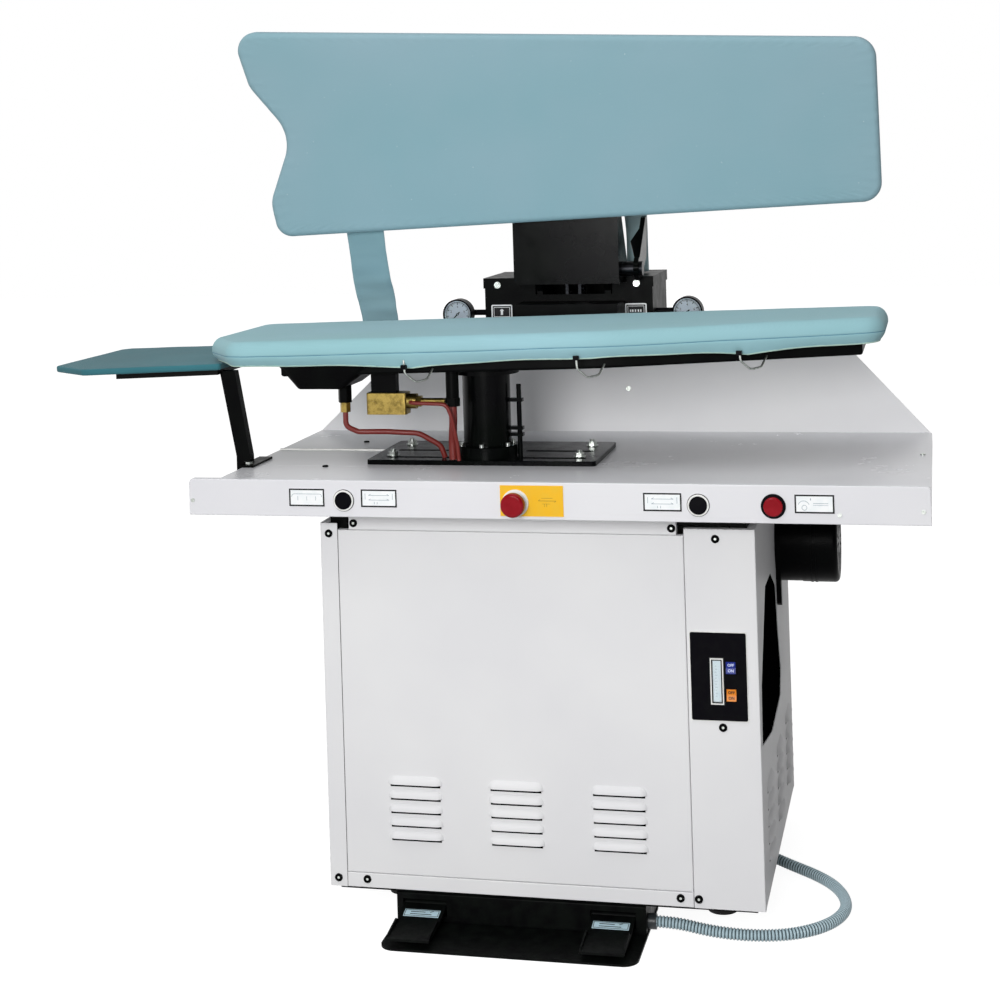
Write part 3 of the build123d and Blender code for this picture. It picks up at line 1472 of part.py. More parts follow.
with BuildPart() as head_chest:
    with BuildSketch(head_seat):
        with BuildLine():
            FilletPolyline(*head_points, radius=head_corners, close=True)
        make_face()
        offset(amount=-head_chest_inset)
    extrude(amount=head_chest_depth)
    fillet(head_chest.faces().sort_by(head_axis)[-1].edges(), 6)
    with BuildSketch(Plane(lift * head_closed.offset(head_pad_depth + chest_wall).location)):
        with BuildLine():
            FilletPolyline(*head_points, radius=head_corners, close=True)
        make_face()
        offset(amount=-head_chest_inset - chest_wall)
    extrude(amount=head_chest_depth - 2 * chest_wall, mode=Mode.SUBTRACT)
head_chest.part.label = "head_chest"
export_step(head_chest.part, "parts/head_chest.step")

# moving arm, drawn in the open position

head_back = head_pad_depth + head_chest_depth
head_rear = 204.0 - head_chest_inset
arm_level = face_height + arm_left * tan(rise)
seat_low = raised(head_rear, arm_level + head_pad_depth)
seat_high = raised(head_rear, arm_level + head_back)
reach_low = raised(head_rear - arm_reach, arm_level + head_back)
reach_high = raised(head_rear - arm_reach, face_height + head_back + arm_depth)
arm_profile = [
    (arm_front, hinge_z - arm_bottom),
    (arm_front, seat_low[1] - 2),
    seat_high,
    reach_low,
    reach_high,
    (hinge_y + 4, hinge_z + 103),
    (hinge_y + 67, hinge_z - 5),
    (hinge_y + 67, hinge_z - 12),
    (housing_front - 3, hinge_z - 12),
    (housing_front - 4, hinge_z - arm_bottom),
]
with BuildPart() as head_arm:
    with BuildSketch(Plane.YZ.offset(arm_left)):
        Polygon(*arm_profile, align=None)
        with Locations((hinge_y, hinge_z)):
            Circle(hinge_shaft_radius, mode=Mode.SUBTRACT)
    extrude(amount=arm_right - arm_left)
    with BuildSketch(Plane.YZ.offset(arm_left + arm_cheek)):
        Polygon(*arm_profile, align=None)
        offset(amount=-arm_plate, kind=Kind.INTERSECTION)
        Polygon(
            (arm_front + arm_plate, hinge_z - 60),
            (arm_front + arm_plate, hinge_z),
            (hinge_y + 62, hinge_z),
            (hinge_y + 62, hinge_z - 5),
            (hinge_y + 90, hinge_z - 5),
            (hinge_y + 90, hinge_z - 60),
            align=None,
        )
    extrude(amount=arm_right - arm_left - 2 * arm_cheek, mode=Mode.SUBTRACT)
    add(head_chest.part, mode=Mode.SUBTRACT)
head_arm.part.label = "head_arm"
export_step(head_arm.part, "parts/head_arm.step")

lever_run = Plane(
    origin=(lever_x, hinge_y - 28, hinge_z - 1),
    x_dir=(1, 0, 0),
    z_dir=(0, -100, 118),
)
with BuildPart() as side_lever:
    with BuildSketch(Plane.YZ.offset(lever_x - lever_thickness / 2)):
        Polygon(
            (hinge_y - 28, hinge_z - 1),
            (hinge_y + 92, hinge_z + 100),
            (hinge_y + 112, hinge_z + 102),
            (hinge_y + 90, hinge_z + 20),
            (hinge_y + 30, hinge_z - 12),
            (hinge_y, hinge_z - 12),
            align=None,
        )
        with Locations((hinge_y, hinge_z)):
            Circle(hub_radius)
            Circle(hinge_shaft_radius, mode=Mode.SUBTRACT)
    extrude(amount=lever_thickness)
    # folded wing along the sloping front edge
    with BuildSketch(lever_run):
        Polygon((-5, 34), (5, 34), (5, 150), (-19, 84), align=None)
    extrude(amount=-5)
side_lever.part.label = "side_lever"
export_step(side_lever.part, "parts/side_lever.step")

# pneumatic cylinder, its piston rod ends in a yoke round the lug's pin

with BuildPart() as cylinder_barrel:
    with BuildSketch(Plane.XY.offset(cylinder_bottom)):
        with Locations((cylinder_x, rod_y)):
            Circle(cylinder_radius)
    extrude(amount=cylinder_length)
    with BuildSketch(Plane.XY.offset(cylinder_bottom + cylinder_cap)):
        with Locations((cylinder_x, rod_y)):
            Circle(bore_radius)
    extrude(amount=cylinder_length - 2 * cylinder_cap, mode=Mode.SUBTRACT)
    with BuildSketch(Plane.XY.offset(cylinder_top - cylinder_cap)):
        with Locations((cylinder_x, rod_y)):
            Circle(rod_radius + running_clearance)
    extrude(amount=cylinder_cap, mode=Mode.SUBTRACT)
cylinder_barrel.part.label = "cylinder_barrel"
export_step(cylinder_barrel.part, "parts/cylinder_barrel.step")

piston_z = cylinder_bottom + cylinder_cap + 14
yoke_bottom = lug_z - lug_eye_radius - yoke_gap - yoke_base
yoke_length = slot_high_y - slot_low_y + 2 * lug_pin_radius + 2 * slot_play
with BuildPart() as piston_rod:
    with BuildSketch(Plane.XY.offset(piston_z)):
        with Locations((cylinder_x, rod_y)):
            Circle(bore_radius - piston_clearance)
    extrude(amount=piston_height)
    with BuildSketch(Plane.XY.offset(piston_z)):
        with Locations((cylinder_x, rod_y)):
            Circle(rod_radius)
    extrude(amount=yoke_bottom - piston_z)
    with BuildSketch(Plane.XY.offset(yoke_bottom)):
        with Locations((cylinder_x, rod_y - rod_radius)):
            Rectangle(
                lug_thickness + 2 * (4 + yoke_wall),
                rod_radius + yoke_depth / 2,
                align=(Align.CENTER, Align.MIN),
            )
    extrude(amount=yoke_base)
    for side in (-1, 1):
        with BuildSketch(Plane.XY.offset(yoke_bottom + yoke_base)):
            with Locations((cylinder_x + side * (lug_thickness / 2 + 4 + yoke_wall / 2), rod_y)):
                Rectangle(yoke_wall, yoke_depth)
        extrude(amount=yoke_height)
    with BuildSketch(Plane.YZ.offset(cylinder_x - 60)):
        with Locations((rod_y, lug_z + (min(lag) + max(lag)) / 2)):
            Rectangle(yoke_length, 2 * lug_pin_radius + max(lag) - min(lag) + slot_play)
    extrude(amount=120, mode=Mode.SUBTRACT)
piston_rod.part.label = "piston_rod"
export_step(piston_rod.part, "parts/piston_rod.step")

# rear housing and gauges

lid_bottom = housing_top - lid_lip
wall_top = housing_top - housing_sheet - lid_gap
notch_left = left_plate_x - frame_plate / 2 - 3
notch_right = right_plate_x + frame_plate / 2 + 3
yoke_half = lug_thickness / 2 + 4 + yoke_wall + 5
with BuildPart() as rear_housing:
    with BuildSketch(Plane.XY.offset(housing_bottom)):
        with Locations((housing_left, housing_front)):
            Rectangle(housing_right - housing_left, housing_back - housing_front, align=low_corner)
        with Locations((housing_left + housing_sheet, housing_front + housing_sheet)):
            Rectangle(
                housing_right - housing_left - 2 * housing_sheet,
                housing_back - housing_front - 2 * housing_sheet,
                align=low_corner,
                mode=Mode.SUBTRACT,
            )
    extrude(amount=wall_top - housing_bottom)
    with BuildSketch(Plane.XZ.offset(-housing_front - housing_sheet)):
        with Locations((notch_left, lid_bottom - 14)):
            Rectangle(notch_right - notch_left, 60, align=low_corner)
        with Locations((arm_left - arm_gap, hinge_z - arm_bottom - arm_gap)):
            Rectangle(arm_right - arm_left + 2 * arm_gap, 60, align=low_corner)
        with Locations(*[(x, beam_bottom + 22) for x in (left_plate_x, right_plate_x)]):
            Rectangle(frame_plate + 2, 36)
    extrude(amount=3 * housing_sheet, mode=Mode.SUBTRACT)
rear_housing.part.label = "rear_housing"
export_step(rear_housing.part, "parts/rear_housing.step")

with BuildPart() as housing_lid:
    with BuildSketch(Plane.XY.offset(lid_bottom)):
        with Locations((housing_left - housing_sheet - lid_gap, housing_front - housing_sheet - lid_gap)):
            Rectangle(
                housing_right - housing_left + 2 * (housing_sheet + lid_gap),
                housing_back - housing_front + 2 * (housing_sheet + lid_gap),
                align=low_corner,
            )
    extrude(amount=lid_lip)
    with BuildSketch(Plane.XY.offset(lid_bottom)):
        with Locations((housing_left - lid_gap, housing_front - lid_gap)):
            Rectangle(
                housing_right - housing_left + 2 * lid_gap,
                housing_back - housing_front + 2 * lid_gap,
                align=low_corner,
            )
    extrude(amount=lid_lip - housing_sheet, mode=Mode.SUBTRACT)
    with BuildSketch(Plane.XY.offset(housing_top)):
        with Locations((arm_left - arm_gap, housing_front - 6)):
            Rectangle(arm_right - arm_left + 2 * arm_gap, 14, align=low_corner)
        with Locations((cylinder_x - yoke_half, housing_front - 6)):
            Rectangle(2 * yoke_half, hinge_y + lug_radius + lug_eye_radius + 14 - housing_front, align=low_corner)
    extrude(amount=-lid_lip, mode=Mode.SUBTRACT)
housing_lid.part.label = "housing_lid"
export_step(housing_lid.part, "parts/housing_lid.step")

gauge_xs = (housing_left - gauge_offset, housing_right + gauge_offset + 8)
gauge_face = Plane.XZ.offset(gauge_depth / 2 - gauge_y)
with BuildPart() as gauge_cases:
    with BuildSketch(gauge_face):
        with Locations(*[(x, gauge_z) for x in gauge_xs]):
            Circle(gauge_radius)
    extrude(amount=-gauge_depth)
    fillet(gauge_cases.faces().group_by(Axis.Y)[0].edges(), 1.2)
    with BuildSketch(gauge_face):
        with Locations(*[(x, gauge_z) for x in gauge_xs]):
            Circle(gauge_radius - gauge_rim)
    extrude(amount=-gauge_recess, mode=Mode.SUBTRACT)
    # stems to the housing's side walls
    with BuildSketch(gauge_face.offset(-gauge_depth)):
        with Locations(*[(x, gauge_z) for x in gauge_xs]):
            Circle(7)
    extrude(amount=-20)
    stem_line = gauge_y + gauge_depth / 2 + 13
    with BuildSketch(Plane.YZ.offset(gauge_xs[0])):
        with Locations((stem_line, gauge_z)):
            Circle(6)
    extrude(amount=housing_left - seat_gap - gauge_xs[0])
    with BuildSketch(Plane.YZ.offset(gauge_xs[1])):
        with Locations((stem_line, gauge_z)):
            Circle(6)
    extrude(amount=housing_right + seat_gap - gauge_xs[1])
gauge_cases.part.label = "gauge_cases"
export_step(gauge_cases.part, "parts/gauge_cases.step")

with BuildPart() as gauge_dials:
    with BuildSketch(gauge_face.offset(-gauge_recess)):
        with Locations(*[(x, gauge_z) for x in gauge_xs]):
            Circle(gauge_radius - gauge_rim - 0.2)
    extrude(amount=0.8)
    with BuildSketch(gauge_face.offset(-gauge_recess)):
        with Locations(*[(x, gauge_z) for x in gauge_xs]):
            Circle(0.9)
    extrude(amount=2.2)
gauge_dials.part.label = "gauge_dials"
export_step(gauge_dials.part, "parts/gauge_dials.step")

needle_face = gauge_face.offset(-gauge_recess + 1.4)
needle_points = [(-1.4, 0), (-0.4, -needle_length), (0.4, -needle_length), (1.4, 0), (1.2, 6), (-1.2, 6)]
with BuildPart() as left_gauge_needle:
    with BuildSketch(needle_face):
        with Locations((gauge_xs[0], gauge_z)):
            Polygon(*needle_points, rotation=-needle_angle, align=None)
            Circle(2.6)
            Circle(1.0, mode=Mode.SUBTRACT)
    extrude(amount=0.8)
left_gauge_needle.part.label = "left_gauge_needle"
export_step(left_gauge_needle.part, "parts/left_gauge_needle.step")

with BuildPart() as right_gauge_needle:
    with BuildSketch(needle_face):
        with Locations((gauge_xs[1], gauge_z)):
            Polygon(*needle_points, rotation=-needle_angle, align=None)
            Circle(2.6)
            Circle(1.0, mode=Mode.SUBTRACT)
    extrude(amount=0.8)
right_gauge_needle.part.label = "right_gauge_needle"
export_step(right_gauge_needle.part, "parts/right_gauge_needle.step")

with BuildPart() as glass_covers:
    with BuildSketch(gauge_face.offset(-1.0)):
        with Locations(*[(x, gauge_z) for x in gauge_xs]):
            Circle(gauge_radius - gauge_rim - 0.1)
    extrude(amount=-1.5)
    with BuildSketch(front_face.offset(plate_thickness + level_proud - 0.4)):
        with Locations((level_x, level_z)):
            Rectangle(level_glass_width - 0.2, level_glass_height - 0.2)
    extrude(amount=-2)
glass_covers.part.label = "glass_covers"
export_step(glass_covers.part, "parts/glass_covers.step")

# cloth ducts: a flat one from the head's left half, and a sleeve behind the side lever

head_rear_slope = (head_points[5][1] - head_points[4][1]) / (head_points[5][0] - head_points[4][0])
duct_x = duct_left + duct_width / 2
duct_rear = head_points[4][1] + (duct_left - head_points[4][0]) * head_rear_slope - head_chest_inset
duct_level = face_height + duct_left * tan(rise) + head_pad_depth + head_chest_depth / 2
duct_top = raised(duct_rear + 0.8, duct_level)
duct_line = [duct_top, (duct_top[0] + 36, 1085), (table_back + 27, 990), (table_back + 31, 890)]
sleeve_line = [
    (sleeve_y, housing_top + seat_gap),
    (sleeve_y, housing_top + 90),
    (sleeve_y - 28, housing_top + 168),
    (sleeve_y - 84, housing_top + 206),
    (hinge_y + 1, housing_top + 214),
]
half_duct = duct_thickness / 2
with BuildPart() as cloth_ducts:
    with BuildSketch(Plane.YZ.offset(duct_left)):
        Polygon(
            *[(y + half_duct, z) for y, z in duct_line],
            *[(y - half_duct, z) for y, z in reversed(duct_line)],
            align=None,
        )
    extrude(amount=duct_width)
    fillet(cloth_ducts.edges().filter_by(Axis.Z, reverse=True).filter_by(Axis.X, reverse=True), 1)
    with BuildSketch(Plane.YZ.offset(sleeve_left)):
        Polygon(
            *[(y + half_duct, z + half_duct * (i > 2)) for i, (y, z) in enumerate(sleeve_line)],
            *[(y - half_duct * (i < 4), z - half_duct * (i > 2)) for i, (y, z) in reversed(list(enumerate(sleeve_line)))],
            align=None,
        )
    extrude(amount=sleeve_width)
cloth_ducts.part.label = "cloth_ducts"
export_step(cloth_ducts.part, "parts/cloth_ducts.step")

# pedal unit

pedal_xs = (left_pedal_x, right_pedal_x)
plate_length = pedal_plate_right - pedal_plate_left
pedal_slot = pedal_width + 2 * pedal_clearance
ear_thickness = 4.0
ear_reach = pedal_hub_radius
box_right = pedal_plate_right - 2
with BuildPart() as pedal_base:
    with BuildSketch(Plane.XY):
        with Locations((pedal_plate_left, pedal_plate_front)):
            Rectangle(plate_length, pedal_plate_back - pedal_plate_front, align=low_corner)
        fillet(vertices().group_by(Axis.Y)[0], pedal_plate_corner)
    extrude(amount=pedal_plate_thickness)
    with BuildSketch(Plane.XY.offset(pedal_plate_thickness)):
        with Locations((pedal_plate_left, pedal_box_front)):
            Rectangle(box_right - pedal_plate_left, pedal_plate_back - pedal_box_front, align=low_corner)
    extrude(amount=pedal_box_top - pedal_plate_thickness)
    fillet(pedal_base.edges().filter_by(Axis.X).group_by(Axis.Z)[-1].sort_by(Axis.Y)[0], 3)
    with BuildSketch(Plane.XY.offset(pedal_plate_thickness)):
        with Locations((pedal_plate_left + pedal_box_sheet, pedal_box_front + pedal_box_sheet)):
            Rectangle(
                box_right - pedal_plate_left - 2 * pedal_box_sheet,
                pedal_plate_back - pedal_box_front - 2 * pedal_box_sheet,
                align=low_corner,
            )
    extrude(amount=pedal_box_top - pedal_plate_thickness - pedal_box_sheet, mode=Mode.SUBTRACT)
    with BuildSketch(Plane.XZ.offset(-pedal_box_front)):
        with Locations(*[(x, pedal_plate_thickness + 8) for x in pedal_xs]):
            Rectangle(pedal_slot, 28, align=(Align.CENTER, Align.MIN))
    extrude(amount=-pedal_box_sheet, mode=Mode.SUBTRACT)
    # ears and pins of the pedals
    for x in pedal_xs:
        for side in (-1, 1):
            ear_x = x + side * (pedal_slot / 2 + ear_thickness / 2)
            with BuildSketch(Plane.YZ.offset(ear_x - ear_thickness / 2)):
                with Locations((pedal_pin_y, pedal_plate_thickness)):
                    Rectangle(2 * ear_reach, pedal_pin_z - pedal_plate_thickness, align=(Align.CENTER, Align.MIN))
                with Locations((pedal_pin_y, pedal_pin_z)):
                    Circle(ear_reach)
            extrude(amount=ear_thickness)
        with BuildSketch(Plane.YZ.offset(x - pedal_slot / 2)):
            with Locations((pedal_pin_y, pedal_pin_z)):
                Circle(pedal_pin_radius)
        extrude(amount=pedal_slot)
pedal_base.part.label = "pedal_base"
export_step(pedal_base.part, "parts/pedal_base.step")

pedal_profile = [
    (pedal_pin_y, pedal_rear_height + pedal_thickness),
    (pedal_pin_y - 8, pedal_rear_height + 2),
    (pedal_bend, pedal_bend_height),
    (pedal_front, pedal_front_height),
    (pedal_front, pedal_front_height - pedal_thickness),
    (pedal_bend, pedal_bend_height - pedal_thickness),
    (pedal_pin_y - 8, pedal_rear_height + 2 - pedal_thickness),
    (pedal_pin_y, pedal_rear_height - pedal_thickness),
]
cheek_profile = [
    (pedal_bend - 10, pedal_bend_height - 1),
    (pedal_bend - 22, pedal_bend_height + pedal_cheek),
    (pedal_front + 14, pedal_front_height + pedal_cheek * 0.6),
    (pedal_front, pedal_front_height - 1),
]
with BuildPart() as left_pedal:
    with BuildSketch(Plane.YZ.offset(left_pedal_x - pedal_width / 2)):
        Polygon(*pedal_profile, align=None)
        with Locations((pedal_pin_y, pedal_pin_z)):
            Circle(pedal_hub_radius)
            Circle(pedal_pin_radius + running_clearance, mode=Mode.SUBTRACT)
    extrude(amount=pedal_width)
    for cheek_x in (left_pedal_x - pedal_width / 2, left_pedal_x + pedal_width / 2 - 3):
        with BuildSketch(Plane.YZ.offset(cheek_x)):
            Polygon(*cheek_profile, align=None)
        extrude(amount=3)
left_pedal.part.label = "left_pedal"
export_step(left_pedal.part, "parts/left_pedal.step")

with BuildPart() as right_pedal:
    with BuildSketch(Plane.YZ.offset(right_pedal_x - pedal_width / 2)):
        Polygon(*pedal_profile, align=None)
        with Locations((pedal_pin_y, pedal_pin_z)):
            Circle(pedal_hub_radius)
            Circle(pedal_pin_radius + running_clearance, mode=Mode.SUBTRACT)
    extrude(amount=pedal_width)
    for cheek_x in (right_pedal_x - pedal_width / 2, right_pedal_x + pedal_width / 2 - 3):
        with BuildSketch(Plane.YZ.offset(cheek_x)):
            Polygon(*cheek_profile, align=None)
        extrude(amount=3)
right_pedal.part.label = "right_pedal"
export_step(right_pedal.part, "parts/right_pedal.step")

# ribbed conduit: its route on the floor, with arcs as large as the runs allow

conduit_start = box_right + gland_length
conduit_points = [
    (conduit_start, -277, 18),
    (224, -277, 18),
    (271, -284, 12),
    (321, -290, 10),
    (370, -288, 10),
    (416, -275, 10),
    (457, -246, 10),
    (487, -205, 10),
    (501, -155, 10),
    (495, -104, 10),
    (475, -55, 10),
    (443, -15, 10),
    (408, 13, 11),
    (379, 31, 14),
    (352, 48, 18),
]
corners = [Vector(*p) for p in conduit_points]
runs = [(b - a).length for a, b in zip(corners, corners[1:])]
turns = [(b - a).get_angle(c - b) for a, b, c in zip(corners, corners[1:], corners[2:])]
conduit_bends = [
    0.45 * min(before, after) / tan(radians(turn) / 2) for before, after, turn in zip(runs, runs[1:], turns)
]
print("conduit bends", [round(r) for r in conduit_bends])
with BuildLine() as conduit_path:
    FilletPolyline(*corners, radius=conduit_bends)
conduit_route = conduit_path.wire()
conduit_length = conduit_route.length
print("conduit length", round(conduit_length, 2))
end_length = 2 * conduit_radius
rib_count = int((conduit_length - 2 * end_length) / rib_pitch)
rib_start = (conduit_length - rib_count * rib_pitch) / 2
root_radius = conduit_radius - rib_height
rib_steps = ((0.0, root_radius), (0.3, root_radius), (0.42, conduit_radius), (0.88, conduit_radius))
rings = [(0.0, root_radius)]
for rib in range(rib_count):
    rings = rings + [(rib_start + (rib + step) * rib_pitch, radius) for step, radius in rib_steps]
rings = rings + [(rib_start + rib_count * rib_pitch, root_radius), (conduit_length, root_radius)]
print("ribs", rib_count)
with BuildPart() as conduit:
    for along, radius in rings:
        ring_at = conduit_route @ (along / conduit_length)
        ring_to = conduit_route % (along / conduit_length)
        with BuildSketch(Plane(ring_at, x_dir=(0, 0, 1), z_dir=ring_to)):
            Circle(radius)
    loft(ruled=True)
    with BuildSketch(Plane(conduit_route @ 0, x_dir=(0, 0, 1), z_dir=conduit_route % 0)):
        Circle(conduit_bore)
    sweep(path=conduit_route, mode=Mode.SUBTRACT)
mean_area = pi * (root_radius ** 2 - conduit_bore ** 2)
print("conduit volume", round(conduit.part.volume), "plain tube at the root", round(mean_area * conduit_length))
conduit.part.label = "conduit"
export_step(conduit.part, "parts/conduit.step")

far_end = conduit_route @ 1
far_way = conduit_route % 1
bracket_way = Vector(far_way.X, far_way.Y, 0).normalized()
with BuildPart() as conduit_glands:
    with BuildSketch(Plane.YZ.offset(box_right)):
        with Locations((conduit_points[0][1], conduit_points[0][2])):
            Circle(gland_radius - 1)
    extrude(amount=gland_length)
    with BuildSketch(Plane(far_end, x_dir=(0, 0, 1), z_dir=far_way)):
        Circle(gland_radius)
    extrude(amount=gland_length)
    with BuildSketch(Plane.XY.offset(3)):
        Polygon(
            *[
                tuple((Vector(far_end.X, far_end.Y) + bracket_way * a + Vector(bracket_way.Y, -bracket_way.X) * b))[:2]
                for a, b in ((10, -15), (14, -15), (14, 15), (10, 15))
            ],
            align=None,
        )
    extrude(amount=base_bottom - 3)
conduit_glands.part.label = "conduit_glands"
export_step(conduit_glands.part, "parts/conduit_glands.step")

# screws, bolts and nuts

rail_mid = front_panel_top + panel_gap + rail_height / 2
low_line = panel_bottom + bottom_rail_height * 0.6
front_screws = [
    (top_rail_left + 9, rail_mid),
    (top_rail_right - 8, rail_mid),
    (-side_x + left_flange / 2, panel_top - 18),
    (cover_left + 53, panel_top - 16),
    (cover_left + 57, control_middle_z - control_height / 2 - 12),
    (-side_x + left_flange / 2, low_line),
    (front_panel_left + 36, low_line),
    (front_panel_right - 22, low_line),
    (cover_left + 8, low_line),
]
with BuildPart() as steel_fasteners:
    with BuildSketch(front_face):
        with Locations(*front_screws):
            Circle(4.5)
    extrude(amount=2)
    with BuildSketch(apron_face):
        with Locations((table_left + 7, control_line - 3), (apron_screw_x, control_line - 13), (table_right - 12, control_line - 6)):
            Circle(3.5)
    extrude(amount=1.5)
    with BuildSketch(Plane.XY.offset(table_height)):
        with Locations(
            (table_screw_front_x, seam_front - 7),
            (table_screw_back_x, seam_back + 101),
            (table_right - 16, seam_back - 4),
        ):
            Circle(5)
    extrude(amount=2)
    with BuildSketch(Plane.XZ.offset(-table_back)):
        with Locations((68, table_height + 87)):
            Circle(5)
    extrude(amount=2)
    with BuildSketch(Plane.XY.offset(plate_top)):
        with Locations((plate_middle_x, plate_middle_y)):
            with GridLocations(2 * plate_bolt_x, 2 * plate_bolt_y, 2, 2):
                Circle(bolt_head_radius + 2.5)
    extrude(amount=2)
    with BuildSketch(Plane.XY.offset(plate_top + 2)):
        with Locations((plate_middle_x, plate_middle_y)):
            with GridLocations(2 * plate_bolt_x, 2 * plate_bolt_y, 2, 2):
                RegularPolygon(bolt_head_radius, 6)
    extrude(amount=bolt_head_height)
    with BuildSketch(Plane.XY.offset(plate_top + 2 + bolt_head_height)):
        with Locations((plate_middle_x, plate_middle_y)):
            with GridLocations(2 * plate_bolt_x, 2 * plate_bolt_y, 2, 2):
                Circle(bolt_radius)
    extrude(amount=4)
    with BuildSketch(Plane.XY.offset(plate_top + collar_height)):
        with Locations((column_x, column_y)):
            with PolarLocations(collar_bolt_circle / 2, 6, start_angle=30):
                Circle(4.6)
    extrude(amount=6)
    with BuildSketch(Plane.XY.offset(table_height + bracket_thickness)):
        with Locations((table_left + 9, foot_bracket_front + 13)):
            RegularPolygon(7, 6)
    extrude(amount=5)
    with BuildSketch(Plane.XZ.offset(-housing_front + housing_sheet + lid_gap)):
        with Locations(*[(x, housing_top - 14) for x in (housing_left + 28, housing_right - 32)]):
            Circle(6.8)
    extrude(amount=3.5)
steel_fasteners.part.label = "steel_fasteners"
export_step(steel_fasteners.part, "parts/steel_fasteners.step")
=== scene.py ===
import json
import math

import bmesh
import bpy
import numpy as np
from mathutils import Matrix, Vector


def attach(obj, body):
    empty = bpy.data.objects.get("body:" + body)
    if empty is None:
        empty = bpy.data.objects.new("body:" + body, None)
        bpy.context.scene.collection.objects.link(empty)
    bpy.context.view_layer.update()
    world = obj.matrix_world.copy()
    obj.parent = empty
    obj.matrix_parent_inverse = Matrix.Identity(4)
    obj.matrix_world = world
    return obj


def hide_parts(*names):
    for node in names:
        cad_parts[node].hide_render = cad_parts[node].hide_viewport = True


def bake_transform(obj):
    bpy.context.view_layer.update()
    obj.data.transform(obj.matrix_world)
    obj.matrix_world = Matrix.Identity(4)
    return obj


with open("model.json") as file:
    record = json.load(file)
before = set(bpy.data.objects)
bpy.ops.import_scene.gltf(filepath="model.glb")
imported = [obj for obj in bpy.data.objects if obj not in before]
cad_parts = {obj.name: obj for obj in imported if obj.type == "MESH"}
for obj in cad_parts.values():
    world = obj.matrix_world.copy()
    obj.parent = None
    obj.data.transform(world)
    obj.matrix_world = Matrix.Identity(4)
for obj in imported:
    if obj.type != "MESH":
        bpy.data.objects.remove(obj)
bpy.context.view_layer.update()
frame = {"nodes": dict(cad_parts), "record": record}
print("frame loaded")

# pneumatic ironing press, standing open; +X to the operator's right, +Y to the back, +Z up
# Blender works in metres; the plans below are in millimetres unless they say otherwise
nodes = frame["nodes"]
mm = 0.001

# camera and light
camera = {
    "place": (0.689, -3.417, 1.327),
    "turn": 13.14,          # degrees towards -X, level otherwise
    "roll": -1.72,
    "lens": 67.284,         # on a 36 mm sensor
    "shiftY": -0.3457,      # the horizon lies high in the picture
}


def makeCamera():
    data = bpy.data.cameras.new("studioCamera")
    data.sensor_width = 36
    data.lens = camera["lens"]
    data.shift_y = camera["shiftY"]
    data.clip_end = 40
    eye = bpy.data.objects.new("studioCamera", data)
    turn = Matrix.Rotation(math.radians(camera["turn"]), 4, "Z")
    level = Matrix.Rotation(math.radians(90), 4, "X")
    roll = Matrix.Rotation(math.radians(camera["roll"]), 4, "Z")
    eye.matrix_world = Matrix.Translation(camera["place"]) @ turn @ level @ roll
    bpy.context.collection.objects.link(eye)
    bpy.context.scene.camera = eye


makeCamera()
bpy.context.scene.view_settings.view_transform = "Standard"

studio = {
    "worldColour": "#FFFFFF",
    "worldSeen": 1.0,        # what camera and glass rays find, and mirror rays towards the backdrop
    "worldFront": 0.1,       # what mirror rays find in the unlit room before the object
    "frontEnds": -0.25,      # direction's y where the room ends and where the backdrop begins
    "backBegins": 0.4,
    "worldLight": 0.54,      # what lights the object
    "rightShare": 0.4,       # how much of that comes from the far right
    "rightSpan": (0.1, 0.9), # direction's x over which it falls to that share
    "floorColour": "#8C8C8C",
    "floorReach": 14.0,      # metres to each side
    "floorLift": 0.93,       # glow for the camera only, so an unshaded floor is white
    "lamps": [
        # name, place, aim, width, height, watts
        ("keySoftbox", (-0.1, -3.6, 1.5), (0.0, 0.0, 0.85), 1.2, 1.2, 80),
        ("overheadSoftbox", (-0.3, -1.2, 4.1), (-0.1, 0.0, 1.0), 2.6, 2.6, 30),
    ],
}


def linear(hexText):
    # sRGB hex to linear: a straight foot below 0.04045, a power of 2.4 above
    channel = np.array([int(hexText[i:i + 2], 16) for i in (1, 3, 5)]) / 255
    value = np.where(channel <= 0.04045, channel / 12.92, ((channel + 0.055) / 1.055) ** 2.4)
    return (*value.tolist(), 1.0)


def add(tree, kind, settings=None, links=None):
    # adds a node; settings go to its properties or its sockets, links feed its sockets
    made = tree.nodes.new(kind)
    for key, value in (settings or {}).items():
        if isinstance(key, str) and hasattr(made, key):
            setattr(made, key, value)
        else:
            made.inputs[key].default_value = value
    for key, source in (links or {}).items():
        tree.links.new(source, made.inputs[key])
    return made


